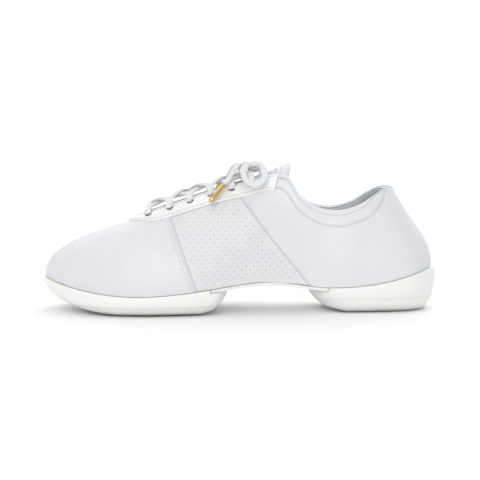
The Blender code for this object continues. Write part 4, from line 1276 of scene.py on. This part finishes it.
# The insole: a thin sheet of foam under grey knit, laid loose in the shoe. Its pile thins out along
# both sides.
INSOLE_MARGIN = -(UPPER_WALL + 2 * GAP)


def level_plate(name, places, margin, low, high, material, pile=0.0):
    """A sheet from side to side of the foot, between two heights over the seam."""
    sides, _, _ = foot_lines(margin)
    across = eased(33)
    rows = []
    for place in places:
        outer, inner = sides(place)
        height = float(seam_height(0.5 - place / SHOE_LENGTH))
        rows.append([(place, outer + (inner - outer) * share, height) for share in across])
    grid = np.array(rows)
    up = np.array([0.0, 0.0, 1.0])
    rim = (1.0 - np.sin(across * math.pi)) ** 6
    top = grid + up * (high - pile * rim[None, :, None])
    return net_solid(name, top, grid + up * low, False, [material])


_, toe_end, heel_end = foot_lines(INSOLE_MARGIN)
places = toe_end + GAP + (heel_end - toe_end - 2 * GAP) * eased(120)
insole = level_plate("insole_foam", places, INSOLE_MARGIN, 0.0, 0.0032, lining_cloth, pile=0.0006)
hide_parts("insole")

# The arch panel: plain white leather under the arch, glued to the upper and over the ends of both
# pads.
arch_leather = leather("arch_leather", (0.87, 0.875, 0.88), (0.82, 0.825, 0.83), roughness=0.55)
places = np.linspace(ARCH_FRONT, ARCH_BACK, 90)
arch = level_plate("arch_leather_panel", places, -GAP, -GAP - 0.002, -GAP, arch_leather)
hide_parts("arch_panel")

# The stitches: each row of waxed thread lies in its groove beside a seam, along the facing's edges
# or across the tongue's top.
STITCH_WIDE = 0.0005
STITCH_THICK = 0.0004
SEAM_STITCH = 0.0023
SEAM_PITCH = 0.0030
FACING_STITCH = 0.0021
FACING_PITCH = 0.0028
VAMP_ROWS = (0.0018, 0.0038)
QUARTER_ROWS = (0.0018,)


def spaced(low, high, pitch):
    """Places a pitch apart along the line low, with the directions along it and out to high."""
    length = length_along(low)
    at = np.arange(pitch / 2, length[-1], pitch)
    point = points_at(low, length, at)
    return point, np.gradient(point, axis=0), points_at(high, length, at) - point


def set_along(turn, down, height, pitch):
    return spaced(on_wall(turn, down, height), on_wall(turn, down, height + 0.003), pitch)


def repeated(name, sets, long, wide, thick, material, segments):
    """Small rounded pieces set along or over the wall by Geometry Nodes, baked into one mesh."""
    points, ways, outs = (np.concatenate([s[k] for s in sets]) for k in range(3))
    lies = []
    for way, out in zip(ways, outs):
        across = Vector(out).cross(Vector(way)).normalized()
        along = across.cross(Vector(out)).normalized()
        lies.append(Matrix((along, across, Vector(out).normalized())).transposed().to_euler())
    mesh = bpy.data.meshes.new(name)
    mesh.from_pydata(points.tolist(), [], [])
    lie = mesh.attributes.new("lie", "FLOAT_VECTOR", "POINT")
    lie.data.foreach_set("vector", np.array(lies, np.float32).ravel())
    made = shown(name, mesh)
    tree = bpy.data.node_groups.new(name, "GeometryNodeTree")
    worked = made.modifiers.new(name, "NODES")

    def node(kind, **values):
        added = tree.nodes.new(kind)
        for label, value in values.items():
            added.inputs[label].default_value = value
        return added

    for label, kind in (
        ("Geometry", "Geometry"), ("Length", "Float"), ("Width", "Float"), ("Thickness", "Float"),
        ("Seed", "Int"), ("Material", "Material"),
    ):
        tree.interface.new_socket(name=label, in_out="INPUT", socket_type="NodeSocket" + kind)
    sockets = {socket.name: socket.identifier for socket in tree.interface.items_tree}
    tree.interface.new_socket(name="Geometry", in_out="OUTPUT", socket_type="NodeSocketGeometry")
    given, result = node("NodeGroupInput"), node("NodeGroupOutput")
    grain = node("GeometryNodeMeshUVSphere", Segments=segments, Rings=max(4, segments // 2), Radius=0.5)
    lie = node("GeometryNodeInputNamedAttribute", Name="lie")
    lie.data_type = "FLOAT_VECTOR"
    scatter = node("FunctionNodeRandomValue")
    scatter.data_type = "FLOAT"
    low, high = (socket for socket in scatter.inputs if socket.enabled and socket.name in ("Min", "Max"))
    low.default_value, high.default_value = 0.93, 1.07
    size = node("ShaderNodeCombineXYZ")
    vary = node("ShaderNodeVectorMath")
    vary.operation = "SCALE"
    place = node("GeometryNodeInstanceOnPoints")
    solid = node("GeometryNodeRealizeInstances")
    coat = node("GeometryNodeSetMaterial")
    for start, end in (
        (given.outputs["Length"], size.inputs[0]),
        (given.outputs["Width"], size.inputs[1]),
        (given.outputs["Thickness"], size.inputs[2]),
        (given.outputs["Seed"], scatter.inputs["Seed"]),
        (given.outputs["Geometry"], place.inputs["Points"]),
        (given.outputs["Material"], coat.inputs["Material"]),
        (size.outputs[0], vary.inputs[0]),
        (next(s for s in scatter.outputs if s.enabled), vary.inputs["Scale"]),
        (next(s for s in lie.outputs if s.enabled), place.inputs["Rotation"]),
        (vary.outputs[0], place.inputs["Scale"]),
        (grain.outputs["Mesh"], place.inputs["Instance"]),
        (place.outputs[0], solid.inputs[0]),
        (solid.outputs[0], coat.inputs["Geometry"]),
        (coat.outputs[0], result.inputs[0]),
    ):
        tree.links.new(start, end)
    worked.node_group = tree
    values = {"Length": long, "Width": wide, "Thickness": thick, "Seed": 7, "Material": material}
    for label, value in values.items():
        worked[sockets[label]] = value
    bake(made)
    made.data.shade_smooth()
    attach(made, "root")


def thread(place):
    twist = noise(place, 0.0005, 3.0)
    return {"Base Color": twist.tint((0.50, 0.52, 0.55), (0.70, 0.71, 0.73)), "height": twist * 0.00005}


sewing_thread = finish("sewing_thread", 0.8, thread, Sheen_Weight=0.15)
seam_sets = []
for ends, shares, ways, insets, clear in (
    (vamp_ends, vamp_shares, (1.0, -1.0), VAMP_ROWS, 0.015),
    (quarter_ends, quarter_shares, (-1.0, 1.0), QUARTER_ROWS, 0.003),
):
    for turn, way in zip(ends, ways):
        for inset in insets:
            moved = turn + way * inset / ROUND_SHOE
            down = shares * wall_length(moved)
            keep = down > clear
            seam_sets.append(set_along(moved[keep], down[keep], 0.00018, SEAM_PITCH))
around = np.linspace(quarter_ends[0][0], quarter_ends[1][0] - 1.0, 900)
lip_line = on_wall(around, 0.0)[:, 0]
for depth in COLLAR_STITCH_ROWS:
    down = tab_line(lip_line, depth)
    for side in (around > 0.0, around < 0.0):
        keep = (lip_line > 0.020) & (down > 0.0012) & side
        seam_sets.append(set_along(around[keep], down[keep], 0.00020, SEAM_PITCH))
repeated("seam_stitches", seam_sets, SEAM_STITCH, STITCH_WIDE, STITCH_THICK, sewing_thread, 8)
along = np.linspace(*lip_pair(0.41), 700)
facing_sets = [
    set_along(along, facing_width(along)[:, 0] * 0.88, EYESTAY_THICK + 0.00012, FACING_PITCH),
    set_along(along, 0.0022, EYESTAY_THICK + 0.00016, FACING_PITCH),
    spaced(*cap_seam, FACING_PITCH),
]
repeated("facing_stitches", facing_sets, FACING_STITCH, STITCH_WIDE, STITCH_THICK, sewing_thread, 8)

# The perforations: a diagonal grid of fine holes punched through the two side panels. Each shows
# as a small shaded dimple in the leather.
HOLE_WIDE = 0.0012
HOLE_DEEP = 0.00012
HOLE_PITCH = 0.0052
HOLE_ROW_PITCH = 0.0026
HOLE_ROWS = 24
HOLE_COLUMNS = 22
GRID_CORNER = (-0.052, 0.019)
SEAM_CLEAR = 0.0028


def hole_shade(place):
    return {"Base Color": noise(place, 0.0008).tint((0.52, 0.56, 0.60), (0.62, 0.66, 0.69))}


punched = finish("perforation_shade", 0.9, hole_shade)
hole_sets = []
outer_turns = np.arange(round(0.16 * TURNS), round(0.49 * TURNS))
for inner_side in (False, True):
    turn_rows = TURNS - outer_turns if inner_side else outer_turns
    net = wall_net[turn_rows]
    flat = net[..., (0, 2)].reshape(-1, 2)
    turn, share = np.meshgrid(turn_rows / TURNS, np.linspace(0.0, 1.0, net.shape[1]), indexing="ij")
    places = []
    for row in range(HOLE_ROWS):
        for column in range(HOLE_COLUMNS):
            x = GRID_CORNER[0] + HOLE_PITCH * (column + 0.5 * (row % 2))
            z = GRID_CORNER[1] + HOLE_ROW_PITCH * row
            if not front_seam(z) + SEAM_CLEAR < x < rear_seam(z) - SEAM_CLEAR:
                continue
            # The turn and the share of the way down of the net's four points nearest to this place
            far = ((flat - (x, z)) ** 2).sum(axis=1)
            near = np.argpartition(far, 4)[:4]
            if far[near].min() < 0.0007**2:
                weight = 1.0 / (far[near] + 1e-9)
                places.append([(v.ravel()[near] * weight).sum() / weight.sum() for v in (turn, share)])
    there, deep = np.array(places).T
    deep = deep * wall_length(there)
    keep = (deep > 0.0160) & (deep < wall_length(there) - 0.0035)
    there, deep = there[keep], deep[keep]
    low, high = on_wall(there, deep, -SIDE_PANEL_SUNK), on_wall(there, deep, 0.003)
    hole_sets.append((low, on_wall(there + 0.002, deep) - on_wall(there, deep), high - low))
repeated("side_perforations", hole_sets, HOLE_WIDE, HOLE_WIDE, HOLE_DEEP, punched, 10)
